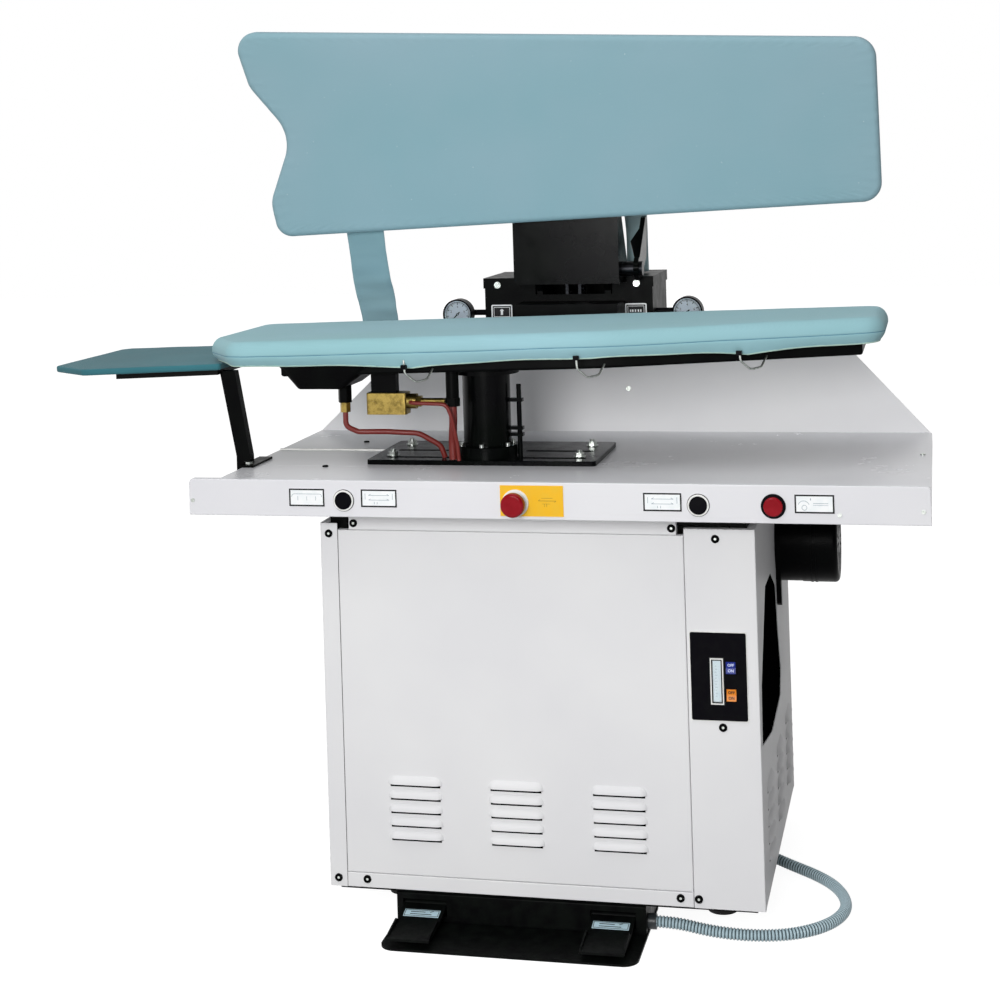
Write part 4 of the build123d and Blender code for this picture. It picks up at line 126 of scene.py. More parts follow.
def makeWorld():
    world = bpy.data.worlds.new("studioWorld")
    world.use_nodes = True
    tree = world.node_tree
    tree.nodes.clear()
    rays = add(tree, "ShaderNodeLightPath")
    way = add(tree, "ShaderNodeTexCoord").outputs["Generated"]
    axis = add(tree, "ShaderNodeSeparateXYZ", {}, {0: way}).outputs
    backdrop = add(tree, "ShaderNodeMapRange", {
        "From Min": studio["frontEnds"], "From Max": studio["backBegins"], "To Min": studio["worldFront"],
    }, {"Value": axis[1]})
    glossy = add(
        tree, "ShaderNodeMath", {"operation": "MULTIPLY"},
        {0: rays.outputs["Is Glossy Ray"], 1: backdrop.outputs[0]},
    )
    mirror = add(
        tree, "ShaderNodeMath", {"operation": "MAXIMUM"},
        {0: rays.outputs["Is Camera Ray"], 1: glossy.outputs[0]},
    )
    seen = add(
        tree, "ShaderNodeMath", {"operation": "MAXIMUM"},
        {0: mirror.outputs[0], 1: rays.outputs["Is Transmission Ray"]},
    )
    level, (near, far) = studio["worldLight"], studio["rightSpan"]
    side = add(tree, "ShaderNodeMapRange", {
        "From Min": near, "From Max": far, "To Min": level, "To Max": level * studio["rightShare"],
    }, {"Value": axis[0]})
    dim = add(
        tree, "ShaderNodeBackground", {"Color": linear(studio["worldColour"])}, {"Strength": side.outputs[0]},
    )
    white = add(
        tree, "ShaderNodeBackground", {"Color": linear(studio["worldColour"]), "Strength": studio["worldSeen"]},
    )
    off = add(tree, "ShaderNodeBackground", {"Strength": 0.0})
    other = add(
        tree, "ShaderNodeMixShader", {},
        {0: rays.outputs["Is Glossy Ray"], 1: dim.outputs[0], 2: off.outputs[0]},
    )
    both = add(tree, "ShaderNodeMixShader", {}, {0: seen.outputs[0], 1: other.outputs[0], 2: white.outputs[0]})
    add(tree, "ShaderNodeOutputWorld", {}, {"Surface": both.outputs[0]})
    bpy.context.scene.world = world


def makeFloor():
    mesh = bpy.data.meshes.new("studioFloor")
    r = studio["floorReach"]
    mesh.from_pydata([(-r, -r, 0), (r, -r, 0), (r, r, 0), (-r, r, 0)], [], [(0, 1, 2, 3)])
    floor = bpy.data.objects.new("studioFloor", mesh)
    bpy.context.collection.objects.link(floor)
    made = bpy.data.materials.new("paintedStudioFloor")
    made.use_nodes = True
    tree = made.node_tree
    tree.nodes.clear()
    rays = add(tree, "ShaderNodeLightPath")
    mirror = add(
        tree, "ShaderNodeMath", {"operation": "MAXIMUM"},
        {0: rays.outputs["Is Camera Ray"], 1: rays.outputs["Is Glossy Ray"]},
    )
    seen = add(
        tree, "ShaderNodeMath", {"operation": "MAXIMUM"},
        {0: mirror.outputs[0], 1: rays.outputs["Is Transmission Ray"]},
    )
    lift = add(tree, "ShaderNodeMath", {"operation": "MULTIPLY", 1: studio["floorLift"]}, {0: seen.outputs[0]})
    paint = add(tree, "ShaderNodeBsdfDiffuse", {"Color": linear(studio["floorColour"])})
    glow = add(tree, "ShaderNodeEmission", {"Color": linear("#FFFFFF")}, {"Strength": lift.outputs[0]})
    both = add(tree, "ShaderNodeAddShader", {}, {0: paint.outputs[0], 1: glow.outputs[0]})
    add(tree, "ShaderNodeOutputMaterial", {}, {"Surface": both.outputs[0]})
    mesh.materials.append(made)


def makeLamps():
    for name, place, aim, width, height, watts in studio["lamps"]:
        data = bpy.data.lights.new(name, "AREA")
        data.shape = "RECTANGLE"
        data.size = width
        data.size_y = height
        data.energy = watts
        lamp = bpy.data.objects.new(name, data)
        look = Vector(aim) - Vector(place)
        lamp.matrix_world = Matrix.Translation(place) @ look.to_track_quat("-Z", "Y").to_matrix().to_4x4()
        lamp.visible_camera = False
        bpy.context.collection.objects.link(lamp)


makeWorld()
makeFloor()
makeLamps()
print("studio made")


# shapes: arrays of points, then one mesh for each piece
def closeShell(mesh, weld):
    # merges points nearer than weld (metres), then turns the faces outwards
    shell = bmesh.new()
    shell.from_mesh(mesh)
    bmesh.ops.remove_doubles(shell, verts=shell.verts, dist=weld)
    bmesh.ops.recalc_face_normals(shell, faces=shell.faces)
    shell.to_mesh(mesh)
    shell.free()


def cellCorners(grid):
    # the four corners of each cell of a grid, in order round the cell
    return [grid[:-1, :-1], grid[:-1, 1:], grid[1:, 1:], grid[1:, :-1]]


def ringFaces(rows, cols):
    # faces of a grid of points that is closed round its columns
    index = np.arange(rows * cols).reshape(rows, cols)
    return np.stack(cellCorners(np.column_stack([index, index[:, :1]])), -1).reshape(-1, 4)


def smoothAll(mesh):
    mesh.polygons.foreach_set("use_smooth", np.ones(len(mesh.polygons), bool))


def gridMesh(name, grid, uv=None):
    # grid (rows, columns, 3) in metres, closed round its columns; uv (rows, columns + 1, 2)
    mesh = bpy.data.meshes.new(name)
    mesh.from_pydata(grid.reshape(-1, 3).tolist(), [], ringFaces(*grid.shape[:2]).tolist())
    if uv is not None:
        corners = np.stack(cellCorners(uv), 2)
        mesh.uv_layers.new(name="UVMap").data.foreach_set("uv", corners.ravel())
    closeShell(mesh, 2e-6)
    smoothAll(mesh)
    mesh.update()
    return mesh


def showPiece(name, mesh, material, body=None):
    # a body is left out for a piece that is not attached to one
    piece = bpy.data.objects.new(name, mesh)
    bpy.context.collection.objects.link(piece)
    mesh.materials.append(material)
    if body:
        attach(piece, body)
    return piece


def roundedOutline(corners, radii, count):
    # closed outline: straight runs joined by arcs tangent to both, then resampled at equal steps;
    # an arc starts at radius / tan(half the corner's angle) from its corner
    p = np.array(corners, float)
    r = np.array(radii, float)
    a = np.roll(p, 1, 0) - p
    b = np.roll(p, -1, 0) - p
    a /= np.linalg.norm(a, axis=1)[:, None]
    b /= np.linalg.norm(b, axis=1)[:, None]
    half = np.arccos(np.clip((a * b).sum(1), -1, 1)) / 2
    middle = a + b
    middle /= np.linalg.norm(middle, axis=1)[:, None]
    centre = p + middle * (r / np.sin(half))[:, None]
    u = p + a * (r / np.tan(half))[:, None] - centre
    v = p + b * (r / np.tan(half))[:, None] - centre
    swing = np.arctan2(u[:, 0] * v[:, 1] - u[:, 1] * v[:, 0], (u * v).sum(1))
    t = np.linspace(0, 1, 25)[None] * swing[:, None]
    arc = np.stack(
        [u[:, :1] * np.cos(t) - u[:, 1:] * np.sin(t), u[:, :1] * np.sin(t) + u[:, 1:] * np.cos(t)], -1,
    )
    loop = (centre[:, None] + arc).reshape(-1, 2)
    loop = np.vstack([loop, loop[:1]])
    run = np.concatenate([[0], np.cumsum(np.linalg.norm(np.diff(loop, axis=0), axis=1))])
    s = np.linspace(0, run[-1], count, endpoint=False)
    return np.column_stack([np.interp(s, run, loop[:, 0]), np.interp(s, run, loop[:, 1])]), s


def inwardOf(loop):
    # unit normals of a closed loop, turned to its inside
    along = np.roll(loop, -1, 0) - np.roll(loop, 1, 0)
    normal = np.column_stack([-along[:, 1], along[:, 0]])
    normal /= np.linalg.norm(normal, axis=1)[:, None]
    area = (loop[:, 0] * np.roll(loop[:, 1], -1) - loop[:, 1] * np.roll(loop[:, 0], -1)).sum()
    return normal * np.sign(area)


def softWaves(u, v, seed, length, amount):
    # sum of twelve plane waves of about one length, in seeded directions and phases
    dice = np.random.default_rng(seed)
    turn = dice.uniform(0, 2 * np.pi, 12)
    k = 2 * np.pi / (length * dice.uniform(0.6, 1.7, 12))
    phase = dice.uniform(0, 2 * np.pi, 12)
    field = np.sin(np.multiply.outer(u, k * np.cos(turn)) + np.multiply.outer(v, k * np.sin(turn)) + phase)
    return amount * field.sum(-1) / 3.5


def ringsTo(loop, centre, inset, share):
    # the loop moved inwards by inset, then drawn towards its centre by share (1 keeps it, 0 is the centre)
    rim = loop[None] + inwardOf(loop)[None] * np.asarray(inset)[:, None, None]
    return centre + (rim - centre) * np.asarray(share)[:, None, None]


def boxStrokes(strokes, lift, height, place):
    # each stroke (x0, y0, x1, y1, width) is a flat bar with square ends, lift to lift + height above its face
    s = np.array(strokes, float)
    a, b, wide = s[:, :2], s[:, 2:4], s[:, 4:5] / 2
    along = (b - a) / np.linalg.norm(b - a, axis=1)[:, None]
    side = np.column_stack([-along[:, 1], along[:, 0]]) * wide
    flat = np.stack([a - side, b - side, b + side, a + side], 1)
    low = np.concatenate([flat, np.full(flat.shape[:2] + (1,), lift)], -1)
    high = np.concatenate([flat, np.full(flat.shape[:2] + (1,), lift + height)], -1)
    points = np.concatenate([low, high], 1).reshape(-1, 3)
    box = np.array([(3, 2, 1, 0), (4, 5, 6, 7), (0, 1, 5, 4), (1, 2, 6, 5), (2, 3, 7, 6), (3, 0, 4, 7)])
    faces = (np.arange(len(s))[:, None, None] * 8 + box).reshape(-1, 4)
    return place(points), faces


def arcStrokes(cx, cy, radius, start, end, parts, width):
    # an arc in degrees as short bars
    t = np.radians(np.linspace(start, end, parts + 1))
    x, y = cx + radius * np.cos(t), cy + radius * np.sin(t)
    return np.column_stack([x[:-1], y[:-1], x[1:], y[1:], np.full(parts, width)]).tolist()


def frameStrokes(cx, cy, width, height, line):
    # a rectangle's four bars, outer size width by height
    x, y, h = width / 2, height / 2, line / 2
    return [
        (cx - x, cy + y - h, cx + x, cy + y - h, line),
        (cx - x, cy - y + h, cx + x, cy - y + h, line),
        (cx - x + h, cy - y + line, cx - x + h, cy + y - line, line),
        (cx + x - h, cy - y + line, cx + x - h, cy + y - line, line),
    ]


def frontFace(y):
    # puts (x, z, height) of a face that looks to the front at its place, in metres
    return lambda p: np.column_stack([p[:, 0], y - p[:, 2], p[:, 1]]) * mm


def textPoints(text, size, heavy=0.0):
    # letters as a closed mesh, centred: points in mm with z from 0 to 1, and its faces
    curve = bpy.data.curves.new("plainLetters", "FONT")
    curve.body = text
    curve.size = size
    curve.extrude = 0.5
    curve.offset = heavy
    curve.align_x = "CENTER"
    curve.align_y = "CENTER"
    curve.resolution_u = 3
    holder = bpy.data.objects.new("plainLetters", curve)
    bpy.context.collection.objects.link(holder)
    mesh = bpy.data.meshes.new_from_object(holder)
    points = np.zeros(len(mesh.vertices) * 3)
    mesh.vertices.foreach_get("co", points)
    points = points.reshape(-1, 3)
    mesh.calc_loop_triangles()
    faces = np.zeros(len(mesh.loop_triangles) * 3, int)
    mesh.loop_triangles.foreach_get("vertices", faces)
    points[:, 2] += 0.5
    points[:, 0] -= (points[:, 0].min() + points[:, 0].max()) / 2
    points[:, 1] -= (points[:, 1].min() + points[:, 1].max()) / 2
    bpy.data.objects.remove(holder)
    bpy.data.curves.remove(curve)
    bpy.data.meshes.remove(mesh)
    return points, faces.reshape(-1, 3)


def joined(parts):
    # several (points, faces) lists as one
    points = np.concatenate([p for p, f in parts])
    starts = np.cumsum([0] + [len(p) for p, f in parts[:-1]])
    quads = [np.column_stack([f, f[:, -1:]]) if f.shape[1] == 3 else f for p, f in parts]
    faces = np.concatenate([f + s for f, s in zip(quads, starts)])
    return points, [f[:3] if f[2] == f[3] else f for f in faces.tolist()]


def markPiece(name, parts, material, body):
    # one rigid piece from several (points, faces) parts, flat shaded
    points, faces = joined(parts)
    mesh = bpy.data.meshes.new(name)
    mesh.from_pydata(points.tolist(), [], faces)
    closeShell(mesh, 1e-6)
    return showPiece(name, mesh, material, body)


# materials
def startMaterial(name):
    made = bpy.data.materials.new(name)
    made.use_nodes = True
    made.node_tree.nodes.clear()
    return made, made.node_tree


def paintedSteel(plan):
    # stoved powder or enamel on sheet steel: an even colour with a faint orange peel that softens
    # the mirror image, a cloudiness a hand wide and a roughness that changes where it was wiped
    made, tree = startMaterial(plan["name"])
    at = add(tree, "ShaderNodeTexCoord").outputs["Object"]
    cloud = add(tree, "ShaderNodeTexNoise", {"Scale": 1000 / plan["cloudMm"], "Detail": 3.0}, {"Vector": at})
    blend = add(
        tree, "ShaderNodeMapRange", {"From Min": 0.35, "From Max": 0.65}, {"Value": cloud.outputs["Fac"]},
    )
    tint = add(tree, "ShaderNodeMix", {
        "data_type": "RGBA", 6: linear(plan["colour"]), 7: linear(plan["shade"]),
    }, {0: blend.outputs[0]})
    wiped = add(
        tree, "ShaderNodeTexNoise", {"Scale": 1000 / (plan["cloudMm"] * 0.6), "Detail": 5.0, "Roughness": 0.65},
        {"Vector": at},
    )
    rough = add(
        tree, "ShaderNodeMapRange",
        {"From Min": 0.3, "From Max": 0.7, "To Min": plan["rough"][0], "To Max": plan["rough"][1]},
        {"Value": wiped.outputs["Fac"]},
    )
    peel = add(tree, "ShaderNodeTexNoise", {"Scale": 1000 / plan["peelMm"], "Detail": 1.0}, {"Vector": at})
    bump = add(
        tree, "ShaderNodeBump", {"Strength": plan["peel"], "Distance": 0.0002}, {"Height": peel.outputs["Fac"]},
    )
    shader = add(tree, "ShaderNodeBsdfPrincipled", {"Specular IOR Level": plan["specular"]},
                 {"Base Color": tint.outputs[2], "Roughness": rough.outputs[0], "Normal": bump.outputs[0]})
    add(tree, "ShaderNodeOutputMaterial", {}, {"Surface": shader.outputs[0]})
    return made


def wovenCover(plan):
    # plain-woven polyester, pressed flat: matt, with a faint sheen at grazing angles, colour that
    # drifts by a few parts where heat has worked on it, and a few lint specks. The real yarns are
    # 0.5 mm; the weave is drawn at 2 mm, because finer than that it doesn't show in the render
    made, tree = startMaterial(plan["name"])
    at = add(tree, "ShaderNodeTexCoord").outputs[plan["coords"]]
    yarn = add(
        tree, "ShaderNodeVectorMath", {"operation": "SCALE", "Scale": 2 * math.pi * 1000 / plan["yarnMm"]},
        {0: at},
    )
    wave = add(tree, "ShaderNodeVectorMath", {"operation": "SINE"}, {0: yarn.outputs[0]})
    axis = add(tree, "ShaderNodeSeparateXYZ", {}, {0: wave.outputs[0]}).outputs
    xy = add(tree, "ShaderNodeMath", {"operation": "MULTIPLY"}, {0: axis[0], 1: axis[1]})
    xz = add(tree, "ShaderNodeMath", {"operation": "MULTIPLY_ADD"}, {0: axis[0], 1: axis[2], 2: xy.outputs[0]})
    weave = add(
        tree, "ShaderNodeMath", {"operation": "MULTIPLY_ADD"}, {0: axis[1], 1: axis[2], 2: xz.outputs[0]},
    )
    drift = add(
        tree, "ShaderNodeTexNoise", {"Scale": 1000 / plan["driftMm"], "Detail": 3.0, "Roughness": 0.55},
        {"Vector": at},
    )
    share = add(
        tree, "ShaderNodeMapRange", {"From Min": 0.34, "From Max": 0.66}, {"Value": drift.outputs["Fac"]},
    )
    body = add(tree, "ShaderNodeMix", {
        "data_type": "RGBA", 6: linear(plan["colour"]), 7: linear(plan["worked"]),
    }, {0: share.outputs[0]})
    yarnTone = add(
        tree, "ShaderNodeMapRange",
        {"From Min": -1.0, "From Max": 1.0, "To Min": 0.0, "To Max": plan["yarnTone"]},
        {"Value": weave.outputs[0]},
    )
    toned = add(
        tree, "ShaderNodeMix", {"data_type": "RGBA", 7: linear(plan["dark"])},
        {0: yarnTone.outputs[0], 6: body.outputs[2]},
    )
    lint = add(tree, "ShaderNodeTexNoise", {"Scale": 1000 / 7.0, "Detail": 2.0}, {"Vector": at})
    fleck = add(
        tree, "ShaderNodeMapRange", {"From Min": 0.755, "From Max": 0.80, "To Max": 0.45},
        {"Value": lint.outputs["Fac"]},
    )
    colour = add(
        tree, "ShaderNodeMix", {"data_type": "RGBA", 7: linear("#D9E6E6")},
        {0: fleck.outputs[0], 6: toned.outputs[2]},
    )
    slub = add(tree, "ShaderNodeTexNoise", {"Scale": 1000 / 24.0, "Detail": 4.0}, {"Vector": at})
    height = add(
        tree, "ShaderNodeMath", {"operation": "MULTIPLY_ADD", 1: 0.22},
        {0: weave.outputs[0], 2: slub.outputs["Fac"]},
    )
    bump = add(tree, "ShaderNodeBump", {"Strength": 0.35, "Distance": 0.0006}, {"Height": height.outputs[0]})
    shader = add(tree, "ShaderNodeBsdfPrincipled", {
        "Roughness": 0.85, "Specular IOR Level": 0.2, "Sheen Weight": 0.12, "Sheen Roughness": 0.5,
    }, {"Base Color": colour.outputs[2], "Normal": bump.outputs[0]})
    add(tree, "ShaderNodeOutputMaterial", {}, {"Surface": shader.outputs[0]})
    return made


def bareMetal(plan):
    # machined, drawn or plated metal: coloured mirror images blurred by fine turning marks, duller
    # where it has tarnished
    made, tree = startMaterial(plan["name"])
    at = add(tree, "ShaderNodeTexCoord").outputs["Object"]
    stretched = add(tree, "ShaderNodeMapping", {"Scale": plan["grain"]}, {"Vector": at})
    marks = add(
        tree, "ShaderNodeTexNoise", {"Scale": 1000 / plan["grainMm"], "Detail": 3.0},
        {"Vector": stretched.outputs[0]},
    )
    stain = add(
        tree, "ShaderNodeTexNoise", {"Scale": 1000 / plan["stainMm"], "Detail": 4.0, "Roughness": 0.6},
        {"Vector": at},
    )
    spread = add(
        tree, "ShaderNodeMapRange", {"From Min": 0.42, "From Max": 0.68}, {"Value": stain.outputs["Fac"]},
    )
    tint = add(tree, "ShaderNodeMix", {
        "data_type": "RGBA", 6: linear(plan["colour"]), 7: linear(plan["tarnish"]),
    }, {0: spread.outputs[0]})
    rough = add(
        tree, "ShaderNodeMapRange",
        {"From Min": 0.3, "From Max": 0.7, "To Min": plan["rough"][0], "To Max": plan["rough"][1]},
        {"Value": marks.outputs["Fac"]},
    )
    bump = add(
        tree, "ShaderNodeBump", {"Strength": plan["bump"], "Distance": 0.0001},
        {"Height": marks.outputs["Fac"]},
    )
    shader = add(
        tree, "ShaderNodeBsdfPrincipled", {"Metallic": 1.0},
        {"Base Color": tint.outputs[2], "Roughness": rough.outputs[0], "Normal": bump.outputs[0]},
    )
    add(tree, "ShaderNodeOutputMaterial", {}, {"Surface": shader.outputs[0]})
    return made


def mouldedPlastic(plan):
    # injection-moulded plastic or rubber: a spark-eroded tool leaves a fine even grain, so highlights
    # are soft at their edges, with a slight rub mark here and there
    made, tree = startMaterial(plan["name"])
    at = add(tree, "ShaderNodeTexCoord").outputs["Object"]
    grain = add(tree, "ShaderNodeTexNoise", {"Scale": 1000 / plan["grainMm"], "Detail": 2.0}, {"Vector": at})
    rub = add(tree, "ShaderNodeTexNoise", {"Scale": 1000 / 18.0, "Detail": 4.0}, {"Vector": at})
    share = add(tree, "ShaderNodeMapRange", {"From Min": 0.4, "From Max": 0.7}, {"Value": rub.outputs["Fac"]})
    tint = add(tree, "ShaderNodeMix", {
        "data_type": "RGBA", 6: linear(plan["colour"]), 7: linear(plan["rubbed"]),
    }, {0: share.outputs[0]})
    rough = add(
        tree, "ShaderNodeMapRange",
        {"From Min": 0.35, "From Max": 0.65, "To Min": plan["rough"][0], "To Max": plan["rough"][1]},
        {"Value": rub.outputs["Fac"]},
    )
    bump = add(
        tree, "ShaderNodeBump", {"Strength": plan["bump"], "Distance": 0.0001},
        {"Height": grain.outputs["Fac"]},
    )
    shader = add(
        tree, "ShaderNodeBsdfPrincipled", {"Specular IOR Level": plan["specular"]},
        {"Base Color": tint.outputs[2], "Roughness": rough.outputs[0], "Normal": bump.outputs[0]},
    )
    add(tree, "ShaderNodeOutputMaterial", {}, {"Surface": shader.outputs[0]})
    return made


def ribbedPlastic(plan):
    # extruded corrugated tube: glossy crests and duller grooves, which are painted darker as painted shade; the
    # crests repeat along the tube's own length, which is the second UV coordinate
    made, tree = startMaterial(plan["name"])
    along = add(
        tree, "ShaderNodeSeparateXYZ", {}, {0: add(tree, "ShaderNodeTexCoord").outputs["UV"]},
    ).outputs[1]
    turns = add(
        tree, "ShaderNodeMath", {"operation": "MULTIPLY", 1: 2 * math.pi * 1000 / plan["pitchMm"]}, {0: along},
    )
    wave = add(tree, "ShaderNodeMath", {"operation": "COSINE"}, {0: turns.outputs[0]})
    # groove share: how far the colour goes towards the dark groove colour, painted shade between the ribs
    groove = add(tree, "ShaderNodeMapRange", {"From Min": 0.1, "From Max": -0.9}, {"Value": wave.outputs[0]})
    tint = add(tree, "ShaderNodeMix", {
        "data_type": "RGBA", 6: linear(plan["colour"]), 7: linear(plan["groove"]),
    }, {0: groove.outputs[0]})
    rough = add(
        tree, "ShaderNodeMapRange", {"To Min": plan["rough"][0], "To Max": plan["rough"][1]},
        {"Value": groove.outputs[0]},
    )
    shader = add(
        tree, "ShaderNodeBsdfPrincipled", {"Specular IOR Level": plan["specular"]},
        {"Base Color": tint.outputs[2], "Roughness": rough.outputs[0]},
    )
    add(tree, "ShaderNodeOutputMaterial", {}, {"Surface": shader.outputs[0]})
    return made


def braidedHose(plan):
    # textile braid over rubber, lacquered: two sets of slanting bands cross, light threads among
    # red ones, and the lacquer gives one long soft highlight
    made, tree = startMaterial(plan["name"])
    at = add(tree, "ShaderNodeTexCoord").outputs["Object"]
    turns = add(
        tree, "ShaderNodeVectorMath", {"operation": "SCALE", "Scale": 2 * math.pi * 1000 / plan["braidMm"]},
        {0: at},
    )
    axis = add(tree, "ShaderNodeSeparateXYZ", {}, {0: turns.outputs[0]}).outputs
    rise = add(tree, "ShaderNodeMath", {"operation": "ADD"}, {0: axis[0], 1: axis[2]})
    fall = add(tree, "ShaderNodeMath", {"operation": "SUBTRACT"}, {0: axis[0], 1: axis[2]})
    left = add(tree, "ShaderNodeMath", {"operation": "SINE"}, {0: rise.outputs[0]})
    right = add(tree, "ShaderNodeMath", {"operation": "SINE"}, {0: fall.outputs[0]})
    braid = add(tree, "ShaderNodeMath", {"operation": "MULTIPLY"}, {0: left.outputs[0], 1: right.outputs[0]})
    share = add(
        tree, "ShaderNodeMapRange", {"From Min": 0.1, "From Max": 0.9, "To Max": 0.7},
        {"Value": braid.outputs[0]},
    )
    tint = add(tree, "ShaderNodeMix", {
        "data_type": "RGBA", 6: linear(plan["colour"]), 7: linear(plan["thread"]),
    }, {0: share.outputs[0]})
    bump = add(tree, "ShaderNodeBump", {"Strength": 0.4, "Distance": 0.0004}, {"Height": braid.outputs[0]})
    shader = add(tree, "ShaderNodeBsdfPrincipled", {
        "Roughness": 0.42, "Specular IOR Level": 0.4, "Coat Weight": 0.2, "Coat Roughness": 0.2,
    }, {"Base Color": tint.outputs[2], "Normal": bump.outputs[0]})
    add(tree, "ShaderNodeOutputMaterial", {}, {"Surface": shader.outputs[0]})
    return made


def clearGlass(plan):
    # polished flat glass over a dial: nearly unseen, a mirror image at grazing angles, a trace of dust
    made, tree = startMaterial(plan["name"])
    at = add(tree, "ShaderNodeTexCoord").outputs["Object"]
    dust = add(tree, "ShaderNodeTexNoise", {"Scale": 1000 / 3.0, "Detail": 3.0}, {"Vector": at})
    rough = add(
        tree, "ShaderNodeMapRange", {"From Min": 0.4, "From Max": 0.8, "To Min": 0.0, "To Max": 0.12},
        {"Value": dust.outputs["Fac"]},
    )
    shader = add(
        tree, "ShaderNodeBsdfPrincipled",
        {"Base Color": linear(plan["colour"]), "Transmission Weight": 1.0, "IOR": plan["ior"]},
        {"Roughness": rough.outputs[0]},
    )
    add(tree, "ShaderNodeOutputMaterial", {}, {"Surface": shader.outputs[0]})
    return made


# sheet steel: white powder coats with a faint peel, and black paints from glossy to scuffed; the black paints'
# greenish second tone, mixed in by the cloud, is a painted dark green reflection
cabinetPowder = paintedSteel({
    "name": "powderCoatedCabinetSheet", "colour": "#E3E3E4", "shade": "#DEDEE0", "cloudMm": 260,
    "rough": (0.38, 0.5), "peelMm": 1.6, "peel": 0.18, "specular": 0.05,
})
tableEnamel = paintedSteel({
    "name": "glossPowderCoatedTable", "colour": "#DCDCDF", "shade": "#D8D8DC", "cloudMm": 220,
    "rough": (0.24, 0.28), "peelMm": 2.2, "peel": 0.05, "specular": 0.15,
})
blackEnamel = paintedSteel({
    "name": "glossBlackEnamel", "colour": "#040406", "shade": "#070A08", "cloudMm": 60, "rough": (0.16, 0.28),
    "peelMm": 2.0, "peel": 0.2, "specular": 0.06,
})
satinBlack = paintedSteel({
    "name": "satinBlackFramePaint", "colour": "#050506", "shade": "#090B0A", "cloudMm": 45,
    "rough": (0.32, 0.46), "peelMm": 1.4, "peel": 0.25, "specular": 0.04,
})
treadBlack = paintedSteel({
    "name": "scuffedBlackPedalPaint", "colour": "#060607", "shade": "#0D100E", "cloudMm": 22,
    "rough": (0.32, 0.55), "peelMm": 1.2, "peel": 0.3, "specular": 0.05,
})
motorBlack = paintedSteel({
    "name": "blackMotorEnamel", "colour": "#020203", "shade": "#040505", "cloudMm": 40, "rough": (0.3, 0.45),
    "peelMm": 2.4, "peel": 0.2, "specular": 0.03,
})
# metals: dull castings and boiler plate, brighter turned brass, zinc with a broken-up spangle
castPlate = bareMetal({
    "name": "groundCastAluminiumPlate", "colour": "#A9ABAC", "tarnish": "#8E9091", "grain": (1, 12, 12),
    "grainMm": 2.0, "stainMm": 60, "rough": (0.35, 0.5), "bump": 0.2,
})
boilerSteel = bareMetal({
    "name": "rolledBoilerSteel", "colour": "#9A9892", "tarnish": "#6E665C", "grain": (1, 6, 6), "grainMm": 3.0,
    "stainMm": 80, "rough": (0.4, 0.6), "bump": 0.2,
})
barrelMetal = bareMetal({
    "name": "anodisedAluminiumTube", "colour": "#B9BABC", "tarnish": "#9FA0A3", "grain": (12, 12, 1),
    "grainMm": 1.5, "stainMm": 50, "rough": (0.28, 0.42), "bump": 0.1,
})
brass = bareMetal({
    "name": "machinedBrass", "colour": "#A8914F", "tarnish": "#6F5E30", "grain": (1, 9, 9), "grainMm": 1.2,
    "stainMm": 14, "rough": (0.24, 0.42), "bump": 0.3,
})
zinc = bareMetal({
    "name": "zincPlatedSteel", "colour": "#D2D6D2", "tarnish": "#A3ABA2", "grain": (1, 1, 1), "grainMm": 0.8,
    "stainMm": 6, "rough": (0.2, 0.38), "bump": 0.3,
})
rodSteel = bareMetal({
    "name": "phosphatedSteelRod", "colour": "#2B2C2F", "tarnish": "#1A1B1D", "grain": (1, 1, 6), "grainMm": 1.0,
    "stainMm": 20, "rough": (0.3, 0.45), "bump": 0.15,
})
# plastics, rubber and foam: black ones swallow the light, the switch and button colours stay clear
blackPlastic = mouldedPlastic({
    "name": "blackMouldedAbs", "colour": "#050409", "rubbed": "#09090C", "grainMm": 0.5, "rough": (0.28, 0.42),
    "specular": 0.04, "bump": 0.2,
})
bluePlastic = mouldedPlastic({
    "name": "blueMouldedPolycarbonate", "colour": "#1E2C80", "rubbed": "#283890", "grainMm": 0.4,
    "rough": (0.22, 0.34), "specular": 0.12, "bump": 0.15,
})
orangePlastic = mouldedPlastic({
    "name": "orangeMouldedPolycarbonate", "colour": "#DC7E22", "rubbed": "#E08C36", "grainMm": 0.4,
    "rough": (0.22, 0.34), "specular": 0.12, "bump": 0.15,
})
redPlastic = mouldedPlastic({
    "name": "redGlossPolyamide", "colour": "#840A17", "rubbed": "#8E121F", "grainMm": 0.8, "rough": (0.1, 0.2),
    "specular": 0.12, "bump": 0.08,
})
yellowPlate = mouldedPlastic({
    "name": "yellowAnodisedPlate", "colour": "#E8B21A", "rubbed": "#E4B42A", "grainMm": 0.6,
    "rough": (0.35, 0.45), "specular": 0.2, "bump": 0.12,
})
dialCard = mouldedPlastic({
    "name": "silkPrintedDialCard", "colour": "#D3DAE6", "rubbed": "#DCE2EA", "grainMm": 0.4,
    "rough": (0.5, 0.6), "specular": 0.3, "bump": 0.1,
})
labelCard = mouldedPlastic({
    "name": "engravedLabelLaminate", "colour": "#EDEFF0", "rubbed": "#E2E8EA", "grainMm": 0.5,
    "rough": (0.4, 0.5), "specular": 0.35, "bump": 0.1,
})
ringPlastic = mouldedPlastic({
    "name": "paleGreyBezelPlastic", "colour": "#E9E9E6", "rubbed": "#D9D9D6", "grainMm": 0.5,
    "rough": (0.2, 0.32), "specular": 0.45, "bump": 0.1,
})
rubber = mouldedPlastic({
    "name": "mouldedNitrileRubber", "colour": "#131313", "rubbed": "#222220", "grainMm": 0.9,
    "rough": (0.6, 0.8), "specular": 0.25, "bump": 0.5,
})
# black foam with no gloss: the blower scroll's finish, and also the black strips under the louvre lips, which
# are painted shade
blackFoamAndSlotShade = mouldedPlastic({
    "name": "blackFoamAndPaintedSlotShade", "colour": "#040405", "rubbed": "#070708", "grainMm": 0.9, "rough": (0.85, 0.95),
    "specular": 0.0, "bump": 0.6,
})
